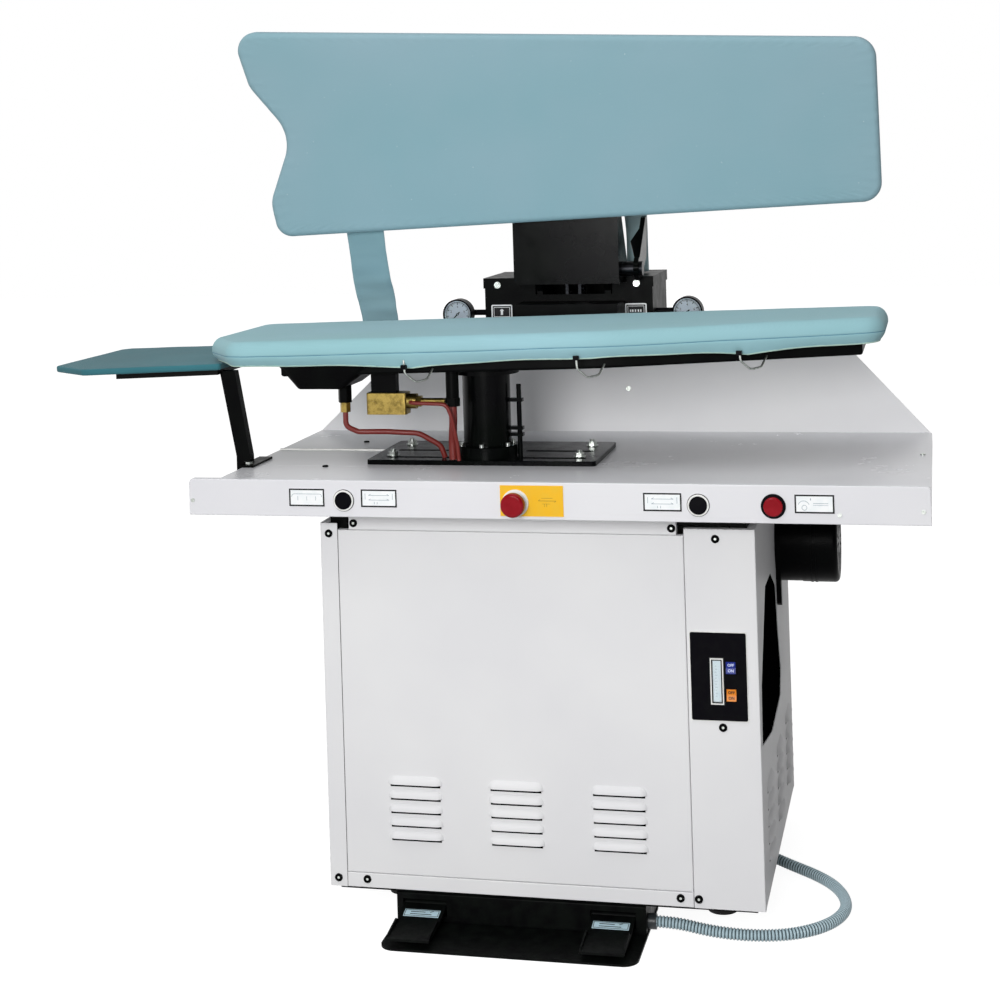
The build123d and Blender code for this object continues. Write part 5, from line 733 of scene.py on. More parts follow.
glandPlastic = mouldedPlastic({
    "name": "greyPolyamideGland", "colour": "#2A2E30", "rubbed": "#383D40", "grainMm": 0.6,
    "rough": (0.35, 0.5), "specular": 0.35, "bump": 0.2,
})
# screen inks: flat, a little rubbed
printInk = mouldedPlastic({
    "name": "blackScreenInk", "colour": "#0E0E10", "rubbed": "#1A1A1C", "grainMm": 0.3, "rough": (0.45, 0.6),
    "specular": 0.25, "bump": 0.1,
})
paleInk = mouldedPlastic({
    "name": "greyBlueScreenInk", "colour": "#8E9DA8", "rubbed": "#7D8C98", "grainMm": 0.3, "rough": (0.5, 0.6),
    "specular": 0.25, "bump": 0.1,
})
amberInk = mouldedPlastic({
    "name": "ochreScreenInk", "colour": "#A8821C", "rubbed": "#94721A", "grainMm": 0.3, "rough": (0.5, 0.6),
    "specular": 0.25, "bump": 0.1,
})
whiteInk = mouldedPlastic({
    "name": "whiteScreenInk", "colour": "#C9D2F0", "rubbed": "#B8C4EC", "grainMm": 0.3, "rough": (0.5, 0.6),
    "specular": 0.25, "bump": 0.1,
})
ribPitch = 5.8      # mm from rib to rib of the conduit
# the conduit's groove colour is painted shade in the grooves
conduitPlastic = ribbedPlastic({
    "name": "extrudedPolyamideConduit", "colour": "#B4CBD4", "groove": "#3E4E52", "pitchMm": ribPitch,
    "rough": (0.3, 0.6), "specular": 0.35,
})
hoseBraid = braidedHose({"name": "braidedSteamHose", "colour": "#6E1816", "thread": "#A04E40", "braidMm": 3.4})
pedalCard = mouldedPlastic({
    "name": "paleBlueLabelLaminate", "colour": "#B4CED8", "rubbed": "#A6C0CA", "grainMm": 0.5,
    "rough": (0.4, 0.5), "specular": 0.35, "bump": 0.1,
})
levelCard = mouldedPlastic({
    "name": "whiteLevelCard", "colour": "#DCE6EE", "rubbed": "#E4EAF0", "grainMm": 0.4, "rough": (0.5, 0.6),
    "specular": 0.3, "bump": 0.1,
})
sealant = mouldedPlastic({
    "name": "whiteSiliconeBead", "colour": "#F1F1EE", "rubbed": "#E4E4E0", "grainMm": 0.8, "rough": (0.35, 0.5),
    "specular": 0.4, "bump": 0.2,
})
glass = clearGlass({"name": "flatGaugeGlass", "colour": "#F4F8F8", "ior": 1.46})
# cloths: matt blue-greens, deepest on the shelf and palest on the sleeve, with a darker stitched cord; the
# sleeve's paleness is painted light
headCloth = wovenCover({
    "name": "wovenPolyesterHeadCover", "coords": "Object", "colour": "#94B2BD", "worked": "#8AAFB9",
    "dark": "#789CA7", "yarnMm": 2.0, "driftMm": 420, "yarnTone": 0.16,
})
buckCloth = wovenCover({
    "name": "wovenPolyesterBuckCover", "coords": "Object", "colour": "#99C2CC", "worked": "#92BEC4",
    "dark": "#7CA7AF", "yarnMm": 2.0, "driftMm": 360, "yarnTone": 0.16,
})
shelfCloth = wovenCover({
    "name": "wovenPolyesterShelfCover", "coords": "Object", "colour": "#3A7680", "worked": "#366E78",
    "dark": "#34626A", "yarnMm": 2.0, "driftMm": 200, "yarnTone": 0.18,
})
ductCloth = wovenCover({
    "name": "wovenPolyesterDuct", "coords": "UV", "colour": "#93B7C0", "worked": "#86AAB6", "dark": "#6C8E98",
    "yarnMm": 2.0, "driftMm": 90, "yarnTone": 0.18,
})
# the duct cloth painted lighter for the sleeve behind the arm: painted light against its shade
sleeveClothPaintedLight = wovenCover({
    "name": "polyesterSleevePaintedLight", "coords": "UV", "colour": "#B4CED2", "worked": "#A6C2C8",
    "dark": "#86A4AA", "yarnMm": 2.0, "driftMm": 90, "yarnTone": 0.18,
})
seamThread = wovenCover({
    "name": "stitchedSeamCord", "coords": "Object", "colour": "#5E93AC", "worked": "#568AA2", "dark": "#41718A",
    "yarnMm": 2.4, "driftMm": 90, "yarnTone": 0.3,
})
hemTape = wovenCover({
    "name": "paleHemTape", "coords": "Object", "colour": "#BCD6C8", "worked": "#A8C8BE", "dark": "#7F9E98",
    "yarnMm": 2.4, "driftMm": 90, "yarnTone": 0.25,
})

# the CAD nodes' finishes: by material slot, and by node where one differs; the thin tube is braided too
finishes = {
    "sheet": cabinetPowder, "table": tableEnamel, "frame": satinBlack, "black_paint": blackEnamel,
    "chest": castPlate, "motor": motorBlack, "fan": blackPlastic, "boiler_steel": boilerSteel,
    "black_plastic": blackPlastic, "blue_plastic": bluePlastic, "orange_plastic": orangePlastic,
    "red_plastic": redPlastic, "yellow_plastic": yellowPlate, "dial": dialCard, "glass": glass,
    "brass": brass, "copper": hoseBraid, "hose": hoseBraid, "steel": zinc, "aluminium": barrelMetal,
    "rubber": rubber, "cover": headCloth, "shelf_cloth": shelfCloth, "duct": ductCloth,
    "conduit": conduitPlastic, "gland": glandPlastic,
}
ownFinish = {
    "buck_pad": buckCloth, "label_plates": labelCard, "pedal_base": treadBlack, "left_pedal": treadBlack,
    "right_pedal": treadBlack, "housing_lid": satinBlack, "rear_housing": satinBlack, "buck_pan": satinBlack,
    "blower_scroll": blackFoamAndSlotShade, "piston_rod": rodSteel, "hinge_shaft": rodSteel, "side_pipe": blackEnamel,
}


def dressNodes():
    for part in frame["record"]["subparts"]:
        node = nodes[part["node"]]
        made = ownFinish.get(part["node"], finishes[part["material_slot"]])
        for spot in node.material_slots:
            spot.material = made


dressNodes()
print("materials made")

# ribbed conduit from the pedal unit to the side of the cabinet
conduit = {
    "route": [  # metres
        (0.189, -0.277, 0.018), (0.224, -0.277, 0.018), (0.271, -0.284, 0.012), (0.321, -0.290, 0.010),
        (0.370, -0.288, 0.010), (0.416, -0.275, 0.010), (0.457, -0.246, 0.010), (0.487, -0.205, 0.010),
        (0.501, -0.155, 0.010), (0.495, -0.104, 0.010), (0.475, -0.055, 0.010), (0.443, -0.015, 0.010),
        (0.408, 0.013, 0.011), (0.379, 0.031, 0.014), (0.352, 0.048, 0.018),
    ],
    "length": 0.6467,   # metres
    "radius": 10.0,
    "rib": 2.2,         # how deep the grooves are
    "pitch": ribPitch,
    "around": 20,       # points round the tube, and rings for each rib
    "perRib": 6,
}


def splineLine(route):
    # the line of a NURBS spline through its control points, as Blender works it out
    curve = bpy.data.curves.new("conduitRoute", "CURVE")
    curve.dimensions = "3D"
    spline = curve.splines.new("NURBS")
    spline.points.add(len(route) - 1)
    spline.points.foreach_set("co", np.column_stack([route, np.ones(len(route))]).ravel())
    spline.order_u = 3
    spline.use_endpoint_u = True
    spline.resolution_u = 40
    holder = bpy.data.objects.new("conduitRoute", curve)
    bpy.context.collection.objects.link(holder)
    mesh = bpy.data.meshes.new_from_object(holder)
    line = np.zeros(len(mesh.vertices) * 3)
    mesh.vertices.foreach_get("co", line)
    bpy.data.objects.remove(holder)
    bpy.data.curves.remove(curve)
    bpy.data.meshes.remove(mesh)
    return line.reshape(-1, 3)


def evenly(line, step):
    # points at equal steps of arc length, and how far along each is
    run = np.concatenate([[0], np.cumsum(np.linalg.norm(np.diff(line, axis=0), axis=1))])
    s = np.linspace(0, run[-1], int(round(run[-1] / step)) + 1)
    return np.column_stack([np.interp(s, run, line[:, i]) for i in range(3)]), s


def tubeGrid(line, radius, around):
    # a circle of the given radius at each point, square to the line; side = vertical x tangent
    along = np.gradient(line, axis=0)
    along /= np.linalg.norm(along, axis=1)[:, None]
    side = np.cross([0.0, 0.0, 1.0], along)
    side /= np.linalg.norm(side, axis=1)[:, None]
    over = np.cross(along, side)
    t = np.linspace(0, 2 * np.pi, around, endpoint=False)
    r = np.broadcast_to(np.asarray(radius, float), len(line))[:, None, None]
    return line[:, None] + r * (
        side[:, None] * np.cos(t)[None, :, None] + over[:, None] * np.sin(t)[None, :, None]
    )


def makeConduit():
    line = splineLine(np.array(conduit["route"]))
    even, s = evenly(line, conduit["pitch"] * mm / conduit["perRib"])
    # radius = outer radius less a groove that is wide and flat at the top of each rib
    groove = (0.5 - 0.5 * np.cos(2 * np.pi * s / (conduit["pitch"] * mm))) ** 1.6
    radius = (conduit["radius"] - conduit["rib"] * groove) * mm
    ends = np.ones(len(s))
    ends[[0, -1]] = 0
    grid = tubeGrid(even, radius * ends, conduit["around"])
    girth = np.linspace(0, 2 * np.pi * conduit["radius"] * mm, conduit["around"] + 1)
    uv = np.stack(np.broadcast_arrays(girth[None], s[:, None]), -1)
    piece = showPiece(
        "ribbed_conduit", gridMesh("ribbed_conduit", grid, uv), conduitPlastic, "cabinet",
    )
    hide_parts("conduit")


makeConduit()
print("conduit made")

# the press plates rise by this angle towards the operator's right
rise = math.radians(1.3)
slopeX = np.array([math.cos(rise), 0, math.sin(rise)])
slopeN = np.array([-math.sin(rise), 0, math.cos(rise)])
hinge = {"y": 318.0, "z": 1088.0, "open": 82.0}

head = {
    "corners": [(-703, -202), (-672, -88), (-590, 15), (-645, 150), (-633, 224), (586, 182), (583, -134)],
    "radii": [38, 60, 80, 60, 34, 38, 42],
    "centre": (-55, 12),
    "level": 1013.0,
    "thick": 25.0,
    "edge": 12.0,       # rounding of the face's rim
    "crown": 1.6,       # how far the face falls away at its rim
    "pucker": 0.35,     # where the cover is drawn over the rim
    "columns": 640,
}


def raised(p):
    # turns closed places (mm) about the hinge's line, to where the head stands open
    turn = math.radians(hinge["open"])
    y, z = p[..., 1] - hinge["y"], p[..., 2] - hinge["z"]
    return np.stack([
        p[..., 0], hinge["y"] + y * math.cos(turn) + z * math.sin(turn),
        hinge["z"] - y * math.sin(turn) + z * math.cos(turn),
    ], -1)


def onPlane(uv, height, level, origin=(0.0, 0.0)):
    # plane coordinates and a height over the sloping plane, as places in mm
    base = np.array([origin[0], origin[1], level])
    return base + uv[..., :1] * slopeX + uv[..., 1:] * np.array([0, 1, 0]) + height[..., None] * slopeN


def makeHeadPad():
    loop, s = roundedOutline(head["corners"], head["radii"], head["columns"])
    edge, thick = head["edge"], head["thick"]
    face = np.linspace(0, 1, 26) ** 0.75                      # face, centre to rim
    turn = np.linspace(0, np.pi / 2, 9)[1:]                   # front rounding
    back = np.linspace(0, np.pi / 2, 5)[1:]                   # tighter rounding at the back
    inset = np.concatenate([
        np.full(26, edge), edge * (1 - np.sin(turn)), [0, 0], 3 * (1 - np.cos(back)), np.full(8, 3.0),
    ])
    share = np.concatenate([face, np.ones(8 + 2 + 4), np.linspace(1, 0, 9)[1:]])
    height = np.concatenate([
        head["crown"] * face ** 6, head["crown"] + (edge - head["crown"]) * (1 - np.cos(turn)),
        [15.5, 19.5], thick - 3 + 3 * np.sin(back), np.full(8, thick),
    ])
    uv = ringsTo(loop, np.array(head["centre"]), inset, share)
    h = np.broadcast_to(height[:, None], uv.shape[:2]).copy()
    # puckers run square to the rim and die out 25 mm from it; the face itself only breathes
    fromRim = (inset + (1 - share) * np.linalg.norm(loop - head["centre"], axis=1).mean())[:, None]
    near = np.exp(-((fromRim - 9) / 12) ** 2) * (height[:, None] < 14)
    h += head["pucker"] * near * (np.sin(2 * np.pi * s / 23) + 0.6 * np.sin(2 * np.pi * s / 37 + 1.3))[None]
    h += 0.5 * np.clip(fromRim / 60, 0, 1) * (height[:, None] < 5) * (
        1 + softWaves(uv[..., 0], uv[..., 1], 5, 210, 0.8)
    )
    piece = showPiece(
        "head_cover", gridMesh("head_cover", raised(onPlane(uv, h, head["level"])) * mm), headCloth,
        "head",
    )
    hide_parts("head_pad")
    # drawn cord hem behind the rim
    hem = ringsTo(loop, np.array(head["centre"]), [1.0], [1.0])[0]
    line = raised(onPlane(hem, np.full(len(hem), thick - 0.6), head["level"])) * mm
    showPiece("head_hem", ringTube("head_hem", line, 1.0), seamThread, "head")


def ringTube(name, line, radius, around=8):
    # a thin closed tube along a closed line
    along = np.roll(line, -1, 0) - np.roll(line, 1, 0)
    along /= np.linalg.norm(along, axis=1)[:, None]
    spread = line - line.mean(0)
    over = np.linalg.svd(spread, full_matrices=False)[2][2]     # normal of the loop's own plane
    side = np.cross(over, along)
    side /= np.linalg.norm(side, axis=1)[:, None]
    over = np.cross(along, side)
    t = np.linspace(0, 2 * np.pi, around, endpoint=False)
    grid = line[None] + radius * mm * (
        side[None] * np.cos(t)[:, None, None] + over[None] * np.sin(t)[:, None, None]
    )
    return gridMesh(name, np.concatenate([grid, grid[:1]]))


makeHeadPad()
print("head cover made")

buck = {
    "corners": [(-672, 225), (592, 185), (592, -72), (100, -187), (-592, -185), (-672, -66)],
    "radii": [42, 45, 46, 400, 60, 40],
    "centre": (-40, 20),
    "level": 1010.0,
    "edge": 22.0,        # rounding of the rim, across
    "nose": 26.0,        # the same, downwards
    "crown": 1.2,
    "seam": 28.5,        # depth of the stitched seam under the top
    "hem": 46.0,         # depth of the hem between the hooks
    # where hooks draw it, how far, how wide
    "pulls": [(-243.0, 11.5, 110.0), (85.0, 2.0, 50.0), (358.0, 9.0, 75.0)],
    "shelfHem": 43.5,    # over the left shelf
    "lean": 10.5,        # how far the lower band leans in
    "gathers": [(1.0, 29.0, 0.0), (0.7, 47.0, 2.0), (0.8, 11.7, 1.0)],     # size, length along the rim, start
    "roof": 21.6,        # underside of the top, over the steam chest
    "chest": 42.6,       # underside of the chest
    "columns": 640,
}


def makeBuckPad():
    loop, s = roundedOutline(buck["corners"], buck["radii"], buck["columns"])
    # the hem hangs lower wherever a hook draws it down
    front = 1 / (1 + np.exp((loop[:, 1] + 60) / 12))
    pull = sum(size * np.exp(-np.abs(loop[:, 0] - x) / wide) for x, size, wide in buck["pulls"]) * front
    seam = buck["seam"] + 0.12 * pull + 0.5 * np.sin(2 * np.pi * s / 310)
    hem = buck["hem"] + pull + 0.6 * np.sin(2 * np.pi * s / 170)
    overShelf = 1 / (1 + np.exp((loop[:, 0] + 612) / 6))
    hem = hem + (np.minimum(hem, buck["shelfHem"]) - hem) * overShelf
    drawn = pull / buck["pulls"][0][1]
    top = np.linspace(0, 1, 26) ** 0.75
    turn = np.linspace(0, np.pi / 2, 12)[1:]
    band = np.linspace(0, 1, 9)[1:]
    lean, crown = buck["lean"], buck["crown"]
    # rings from the middle of the top over the rim, down the side and back up inside:
    # inset, share of the outline, depth = fixed part + share of seam + share of hem
    rings = [(buck["edge"], t, crown * t ** 6, 0, 0) for t in top]
    rings += [
        (buck["edge"] * (1 - math.sin(a)), 1, crown + (buck["nose"] - crown) * (1 - math.cos(a)), 0, 0)
        for a in turn
    ]
    rings += [(0.2, 1, -0.6, 1, 0), (1.4, 1, 0.0, 1, 0), (0.5, 1, 0.8, 1, 0)]
    rings += [(0.5 + lean * a ** 1.6, 1, 0.8 * (1 - a), 1 - a, a) for a in band]
    rings += [
        (lean + 1.3, 1, 0.9, 0, 1), (lean + 2.2, 1, -0.2, 0, 1), (9.9, 1, buck["chest"], 0, 0),
        (10.0, 1, 24.0, 0, 0),
    ]
    rings += [(12.0, t, buck["roof"], 0, 0) for t in np.linspace(1, 0, 7)]
    inset, share, fixed, onSeam, onHem = (np.array(column, float)[:, None] for column in zip(*rings))
    depth = fixed + onSeam * seam[None] + onHem * hem[None]
    # small gathers in the lower band, and a hand-wide unevenness of the side
    gathers = sum(size * np.sin(2 * np.pi * s / wave + late) for size, wave, late in buck["gathers"])
    inset = inset + 0.7 * onHem * (gathers * (0.3 + drawn))[None] * (inset < lean + 0.6)
    onSide = np.exp(-((fixed - 16) / 7) ** 2) * (share > 0.99) * (onSeam + onHem < 0.5) * (inset < 8)
    inset = inset + 0.5 * onSide * np.sin(2 * np.pi * s / 260)[None]
    rim = loop[None] + inwardOf(loop)[None] * inset[..., None]
    uv = np.array(buck["centre"]) + (rim - buck["centre"]) * share[..., None]
    depth = depth + 0.35 * (1 + softWaves(uv[..., 0], uv[..., 1], 8, 190, 0.7)) * (depth < 2.0)
    piece = showPiece(
        "buck_cover", gridMesh("buck_cover", onPlane(uv, -depth, buck["level"]) * mm), buckCloth,
        "cabinet",
    )
    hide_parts("buck_pad")
    out = inwardOf(loop)
    line = onPlane(loop + out * 0.9, -seam, buck["level"]) * mm
    showPiece("buck_seam", ringTube("buck_seam", line, 0.85), seamThread, "cabinet")
    line = onPlane(loop + out * (lean + 0.9), -hem - 0.4, buck["level"]) * mm
    showPiece("buck_hem", ringTube("buck_hem", line, 1.35), hemTape, "cabinet")


makeBuckPad()
print("buck cover made")

shelf = {
    "corners": [(6, -119), (-252, -166), (-342, -92), (-342, 205), (-326, 226), (6, 248)],
    "radii": [8, 16, 10, 10, 10, 8],
    "centre": (-165, 45),
    "origin": (-640.0, 0.0, 950.0),
    "slope": 1.0,
    "thick": 13.0,
    "edge": 4.0,
    "columns": 360,
}


def makeShelf():
    loop = roundedOutline(shelf["corners"], shelf["radii"], shelf["columns"])[0]
    edge, thick = shelf["edge"], shelf["thick"]
    top = np.linspace(0, 1, 16) ** 0.8
    turn = np.linspace(0, np.pi / 2, 6)[1:]
    inset = np.concatenate([
        np.full(16, edge), edge * (1 - np.sin(turn)), [0.0], edge * (1 - np.cos(turn)), np.full(6, edge),
    ])
    share = np.concatenate([top, np.ones(5 + 1 + 5), np.linspace(1, 0, 7)[1:]])
    drop = np.concatenate([
        0.6 * top ** 5, 0.6 + (edge - 0.6) * (1 - np.cos(turn)), [thick / 2],
        thick - edge + edge * np.sin(turn), np.full(6, thick),
    ])
    uv = ringsTo(loop, np.array(shelf["centre"]), inset, share)
    h = np.broadcast_to(drop[:, None], uv.shape[:2]).copy()
    h += 0.3 * (drop[:, None] < 1) * (1 + softWaves(uv[..., 0], uv[..., 1], 11, 120, 0.8))
    tilt = math.radians(shelf["slope"])
    along, up = np.array([math.cos(tilt), 0, math.sin(tilt)]), np.array([-math.sin(tilt), 0, math.cos(tilt)])
    across = uv[..., 1:] * np.array([0, 1, 0])
    grid = np.array(shelf["origin"]) + uv[..., :1] * along + across - h[..., None] * up
    piece = showPiece("shelf_cover", gridMesh("shelf_cover", grid * mm), shelfCloth, "cabinet")
    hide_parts("shelf_board")


makeShelf()
print("shelf made")

# flat cloth ducts between the head and the cabinet; line points are (y, z)
flatDuct = {
    "line": [(260.8, 1186.8), (296.8, 1085), (354, 990), (358, 890)],
    "left": -500.0, "width": 80.0, "thick": 5.0, "fold": 3.0, "seed": 3,
}
sleeve = {
    "line": [(450, 1071.3), (450, 1161), (422, 1239), (366, 1277), (319, 1285)],
    "left": 52.0, "width": 46.0, "thick": 7.0, "fold": 1.6, "seed": 4,
}


def makeDuct(name, plan, cloth):
    # a flattened oval, width by thickness, carried along a line whose corners are eased over 50 mm
    corners = np.array([(0, y, z) for y, z in plan["line"]], float)
    line, s = evenly(corners, 3.0)
    kernel = np.hanning(19)[1:-1]
    kernel /= kernel.sum()
    reach = len(kernel) // 2
    padded = np.concatenate([2 * line[:1] - line[reach:0:-1], line, 2 * line[-1:] - line[-2:-reach - 2:-1]])
    line = np.column_stack([np.convolve(padded[:, i], kernel, "valid") for i in range(3)])
    along = np.gradient(line, axis=0)
    along /= np.linalg.norm(along, axis=1)[:, None]
    out = np.cross(along, [1.0, 0, 0])
    t = np.linspace(0, 2 * np.pi, 48, endpoint=False)
    # rounded-box section: sign(cos) |cos|^0.35 across, sin over a third power for the faces
    across = np.sign(np.cos(t)) * np.abs(np.cos(t)) ** 0.35 * plan["width"] / 2
    over = np.sign(np.sin(t)) * np.abs(np.sin(t)) ** 0.8 * plan["thick"] / 2
    rows = len(line)
    wave = softWaves(
        np.repeat(across[None] * 0.6, rows, 0), np.repeat(s[:, None], 48, 1), plan["seed"], 60,
        plan["fold"] / 2,
    )
    calm = np.sin(np.pi * np.clip(s / s[-1], 0, 1))[:, None]
    ends = np.ones(rows)
    ends[[0, -1]] = 0
    grid = line[:, None] + np.array([1.0, 0, 0]) * (
        across[None] * (1 - 0.04 * calm * np.sin(s / 31)[:, None]) * ends[:, None]
    )[..., None]
    grid = grid + out[:, None] * ((over[None] + wave * calm) * ends[:, None])[..., None]
    grid[..., 0] += plan["left"] + plan["width"] / 2
    span = np.concatenate([t, [2 * np.pi]]) / (2 * np.pi) * 2 * (plan["width"] + plan["thick"])
    uv = np.stack(np.broadcast_arrays(span[None], s[:, None]), -1) * mm
    mesh = gridMesh(name, grid * mm, uv)
    return showPiece(name, mesh, cloth), s[-1]


strapPiece, strapLength = makeDuct("flat_duct", flatDuct, ductCloth)
sleevePiece, sleeveLength = makeDuct("round_sleeve", sleeve, sleeveClothPaintedLight)
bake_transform(strapPiece)
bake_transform(sleevePiece)
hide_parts("cloth_ducts")
print("ducts made")

# small marks: labels, dials, switches; strokes are (x0, z0, x1, z1, width)
ink = {"sunk": -0.1, "film": 0.22}      # a print's underside against its face, and its thickness
apron = {
    "face": -395.0, "line": 752.5, "size": (63.0, 30.0), "border": 2.6,
    "labels": [(-372.5, 0), (-244.5, 1), (237.5, 1), (482.5, 2)],       # x, and which pictogram
}
plates = {"face": 344.0, "line": 1001.0, "xs": (-195.0, 85.0), "size": (39.0, 25.0), "inner": (34.0, 20.0)}
buttons = {
    "face": -394.0, "line": 748.0, "starts": [-307.0, 296.0], "stop": -8.0,
    "bezel": (14.8, 17.7), "rimShade": (17.0, 18.7),      # inner and outer radius; the second pair is a painted dark edge round each bezel
    "collar": (8.0, 15.4), "flange": (15.2, 22.5),      # behind the stop button
}
stopPlate = {"face": -395.5, "x": 46.0, "z": 752.0}


def apronPictogram(kind, x, z):
    line = 0.7
    if kind == 0:       # a cover that is laid over three points
        strokes = arcStrokes(x - 22, z + 1, 5, 90, 180, 5, line)
        strokes += [(x - 22, z + 6, x + 22, z + 6, line)]
        strokes += arcStrokes(x + 22, z + 1, 5, 0, 90, 5, line)
        return strokes + [(x + d, z + 2, x + d, z - 5, line) for d in (-16, 0, 16)]
    if kind == 1:       # two plates that meet, with end brackets
        strokes = [(x - 18, z + 5, x + 18, z + 5, line), (x - 18, z - 3, x + 18, z - 3, line)]
        strokes += [(x + d * 24, z + 8, x + d * 24, z - 2, line) for d in (-1, 1)]
        strokes += [(x + d * 18, z + 5, x + d * 14, z + 7, line) for d in (-1, 1)]
        strokes += [(x + d * 18, z - 3, x + d * 14, z - 1, line) for d in (-1, 1)]
        return strokes + [(x - 8 + d, z - 6, x - 8 + d, z - 10, line) for d in (0, 5)]
    strokes = arcStrokes(x - 17, z - 4, 9, 20, 160, 12, line) + arcStrokes(x - 16, z - 6, 4, 0, 360, 16, line)
    return strokes + [
        (x - 2, z + 1, x + 22, z + 1, line), (x - 2, z - 2, x + 22, z - 2, line * 0.7),
        (x - 6, z + 9, x - 6, z + 6, 1.4),
    ]


def makeLabels():
    w, h = apron["size"]
    place = frontFace(apron["face"])
    border = [s for x, kind in apron["labels"] for s in frameStrokes(x, apron["line"], w, h, apron["border"])]
    markPiece("label_borders", [boxStrokes(border, -0.1, 0.3, place)], printInk, "cabinet")
    lines = [s for x, kind in apron["labels"] for s in apronPictogram(kind, x, apron["line"])]
    markPiece(
        "label_pictograms", [boxStrokes(lines, ink["sunk"], ink["film"], place)], paleInk,
        "cabinet",
    )
    # housing plates: black with a pale frame line, and a post on the left one, bars on the right one
    place = frontFace(plates["face"])
    (w, h), z, (left, right) = plates["size"], plates["line"], plates["xs"]
    dark = [(x - w / 2, z, x + w / 2, z, h) for x in plates["xs"]]
    markPiece(
        "housing_plate_print", [boxStrokes(dark, -0.1, 0.25, place)], printInk, "cabinet",
    )
    light = [s for x in plates["xs"] for s in frameStrokes(x, z, *plates["inner"], 0.9)]
    light += [(left, z - 6, left, z + 4, 4.6)] + arcStrokes(left, z + 2, 3.4, 0, 180, 8, 1.2)
    light += [(right + d, z - 2.5, right + d, z + 2.5, 2.6) for d in (-11, -6.5, -1, 5, 10)]
    markPiece("housing_plate_symbols", [boxStrokes(light, 0.1, 0.2, place)], labelCard, "cabinet")
    # pale rings round the two start buttons, and round the stop button's collar
    face, z = buttons["face"], buttons["line"]
    parts = [ringBand(x, z, *buttons["bezel"], face - 0.4, face - 3.3) for x in buttons["starts"]]
    parts.append(ringBand(buttons["stop"], z, *buttons["collar"], face - 1.6, face - 10.8))
    parts.append(ringBand(buttons["stop"], z, *buttons["flange"], face - 1.5, face - 4.2))
    markPiece("button_bezels", parts, ringPlastic, "cabinet")
    # dark rings under the bezels: painted shade along the bezels' edges
    parts = [ringBand(x, z, *buttons["rimShade"], face + 0.2, face - 1.2) for x in buttons["starts"]]
    markPiece("button_rim_shade", parts, rubber, "cabinet")
    # the stop plate's faint drawing
    place = frontFace(stopPlate["face"])
    x, z = stopPlate["x"], stopPlate["z"]
    lines = [
        (x - 15, z, x + 15, z, 0.8), (x - 15, z, x - 12, z + 2.4, 0.8), (x + 15, z, x + 12, z - 2.4, 0.8),
        (x - 10, z + 4.5, x + 9, z + 4.5, 0.6), (x - 9, z - 5, x + 5, z - 5, 0.5),
        (x - 5, z - 5, x - 5, z - 10, 0.7), (x - 1, z - 5, x - 1, z - 10, 0.7),
    ]
    markPiece(
        "stop_plate_drawing", [boxStrokes(lines, ink["sunk"], ink["film"], place)], amberInk,
        "cabinet",
    )


def ringBand(cx, cz, inner, outer, back, front, count=64):
    # a flat ring with a rounded front edge, closed: (radius, y) carried round the centre
    ring = [
        (inner, back), (outer, back), (outer, front + 1.0), (outer - 0.3, front + 0.3), (outer - 1.0, front),
        (inner + 0.4, front), (inner, front + 0.4),
    ]
    profile = np.array(ring + ring[:1], float)
    t = np.linspace(0, 2 * np.pi, count, endpoint=False)
    grid = np.stack(
        [cx + profile[:, :1] * np.cos(t), np.repeat(profile[:, 1:], count, 1), cz + profile[:, :1] * np.sin(t)],
        -1,
    ) * mm
    return grid.reshape(-1, 3), ringFaces(*grid.shape[:2])


makeLabels()

gauge = {
    "xs": [-291.0, 189.0], "z": 997.0, "dial": 350.2,
    "start": 225.0, "sweep": 270.0,                     # degrees, from zero to full scale
    "marks": 8, "ticks": [(21.6, 0.6, 40), (19.2, 1.5, 8)],     # where ticks begin, how wide, how many steps
    "rim": 24.6, "numbers": 15.2, "letter": 7.0,        # where ticks end, where numbers stand, their size
    "sunk": -0.08,
}


def makeDials():
    place = frontFace(gauge["dial"])
    z, rim, reach = gauge["z"], gauge["rim"], gauge["numbers"]
    strokes, parts = [], []
    for x in gauge["xs"]:
        for inner, wide, count in gauge["ticks"]:
            t = np.radians(gauge["start"] - gauge["sweep"] * np.arange(count + 1) / count)
            c, n = np.cos(t), np.sin(t)
            strokes += np.column_stack([
                x + inner * c, z + inner * n, x + rim * c, z + rim * n, np.full(count + 1, wide),
            ]).tolist()
        strokes += arcStrokes(x, z, rim + 0.2, gauge["start"] - gauge["sweep"], gauge["start"], 48, 0.9)
        for mark in range(0, gauge["marks"] + 1, 2):
            turn = math.radians(gauge["start"] - gauge["sweep"] * mark / gauge["marks"])
            points, faces = textPoints(str(mark), gauge["letter"])
            points = np.column_stack([
                x + reach * math.cos(turn) + points[:, 0], z + reach * math.sin(turn) + points[:, 1],
                points[:, 2] * ink["film"] + gauge["sunk"],
            ])
            parts.append((place(points), faces))
    parts.append(boxStrokes(strokes, gauge["sunk"], ink["film"], place))
    markPiece("dial_print", parts, printInk, "cabinet")


makeDials()

panel = {
    "plate": (311.5, 448.5, 96.2, 149.2),               # middle and outer size of the pale rim
    "level": (308.5, 441.0, 21.0, 76.0),                # middle and size of the water level's frame
    "face": -317.0, "cabinetFace": -314.0, "cardFace": -315.2,
    "cardInset": 3.8,                                   # the card's edge inside that frame
    "rockers": [("blue_rocker", 463.5, whiteInk), ("orange_rocker", 418.0, printInk)],
    "rockerX": 332.0, "half": 9.8, "turn": 8.0,         # half a rocker's height, degrees it leans
    "words": [("OFF", 4.6), ("ON", -4.4)], "letter": 6.2, "heavy": 0.22,
    # how proud a rocker is at its middle, and more at its ends
    "dish": (4.0, 2.2),
}


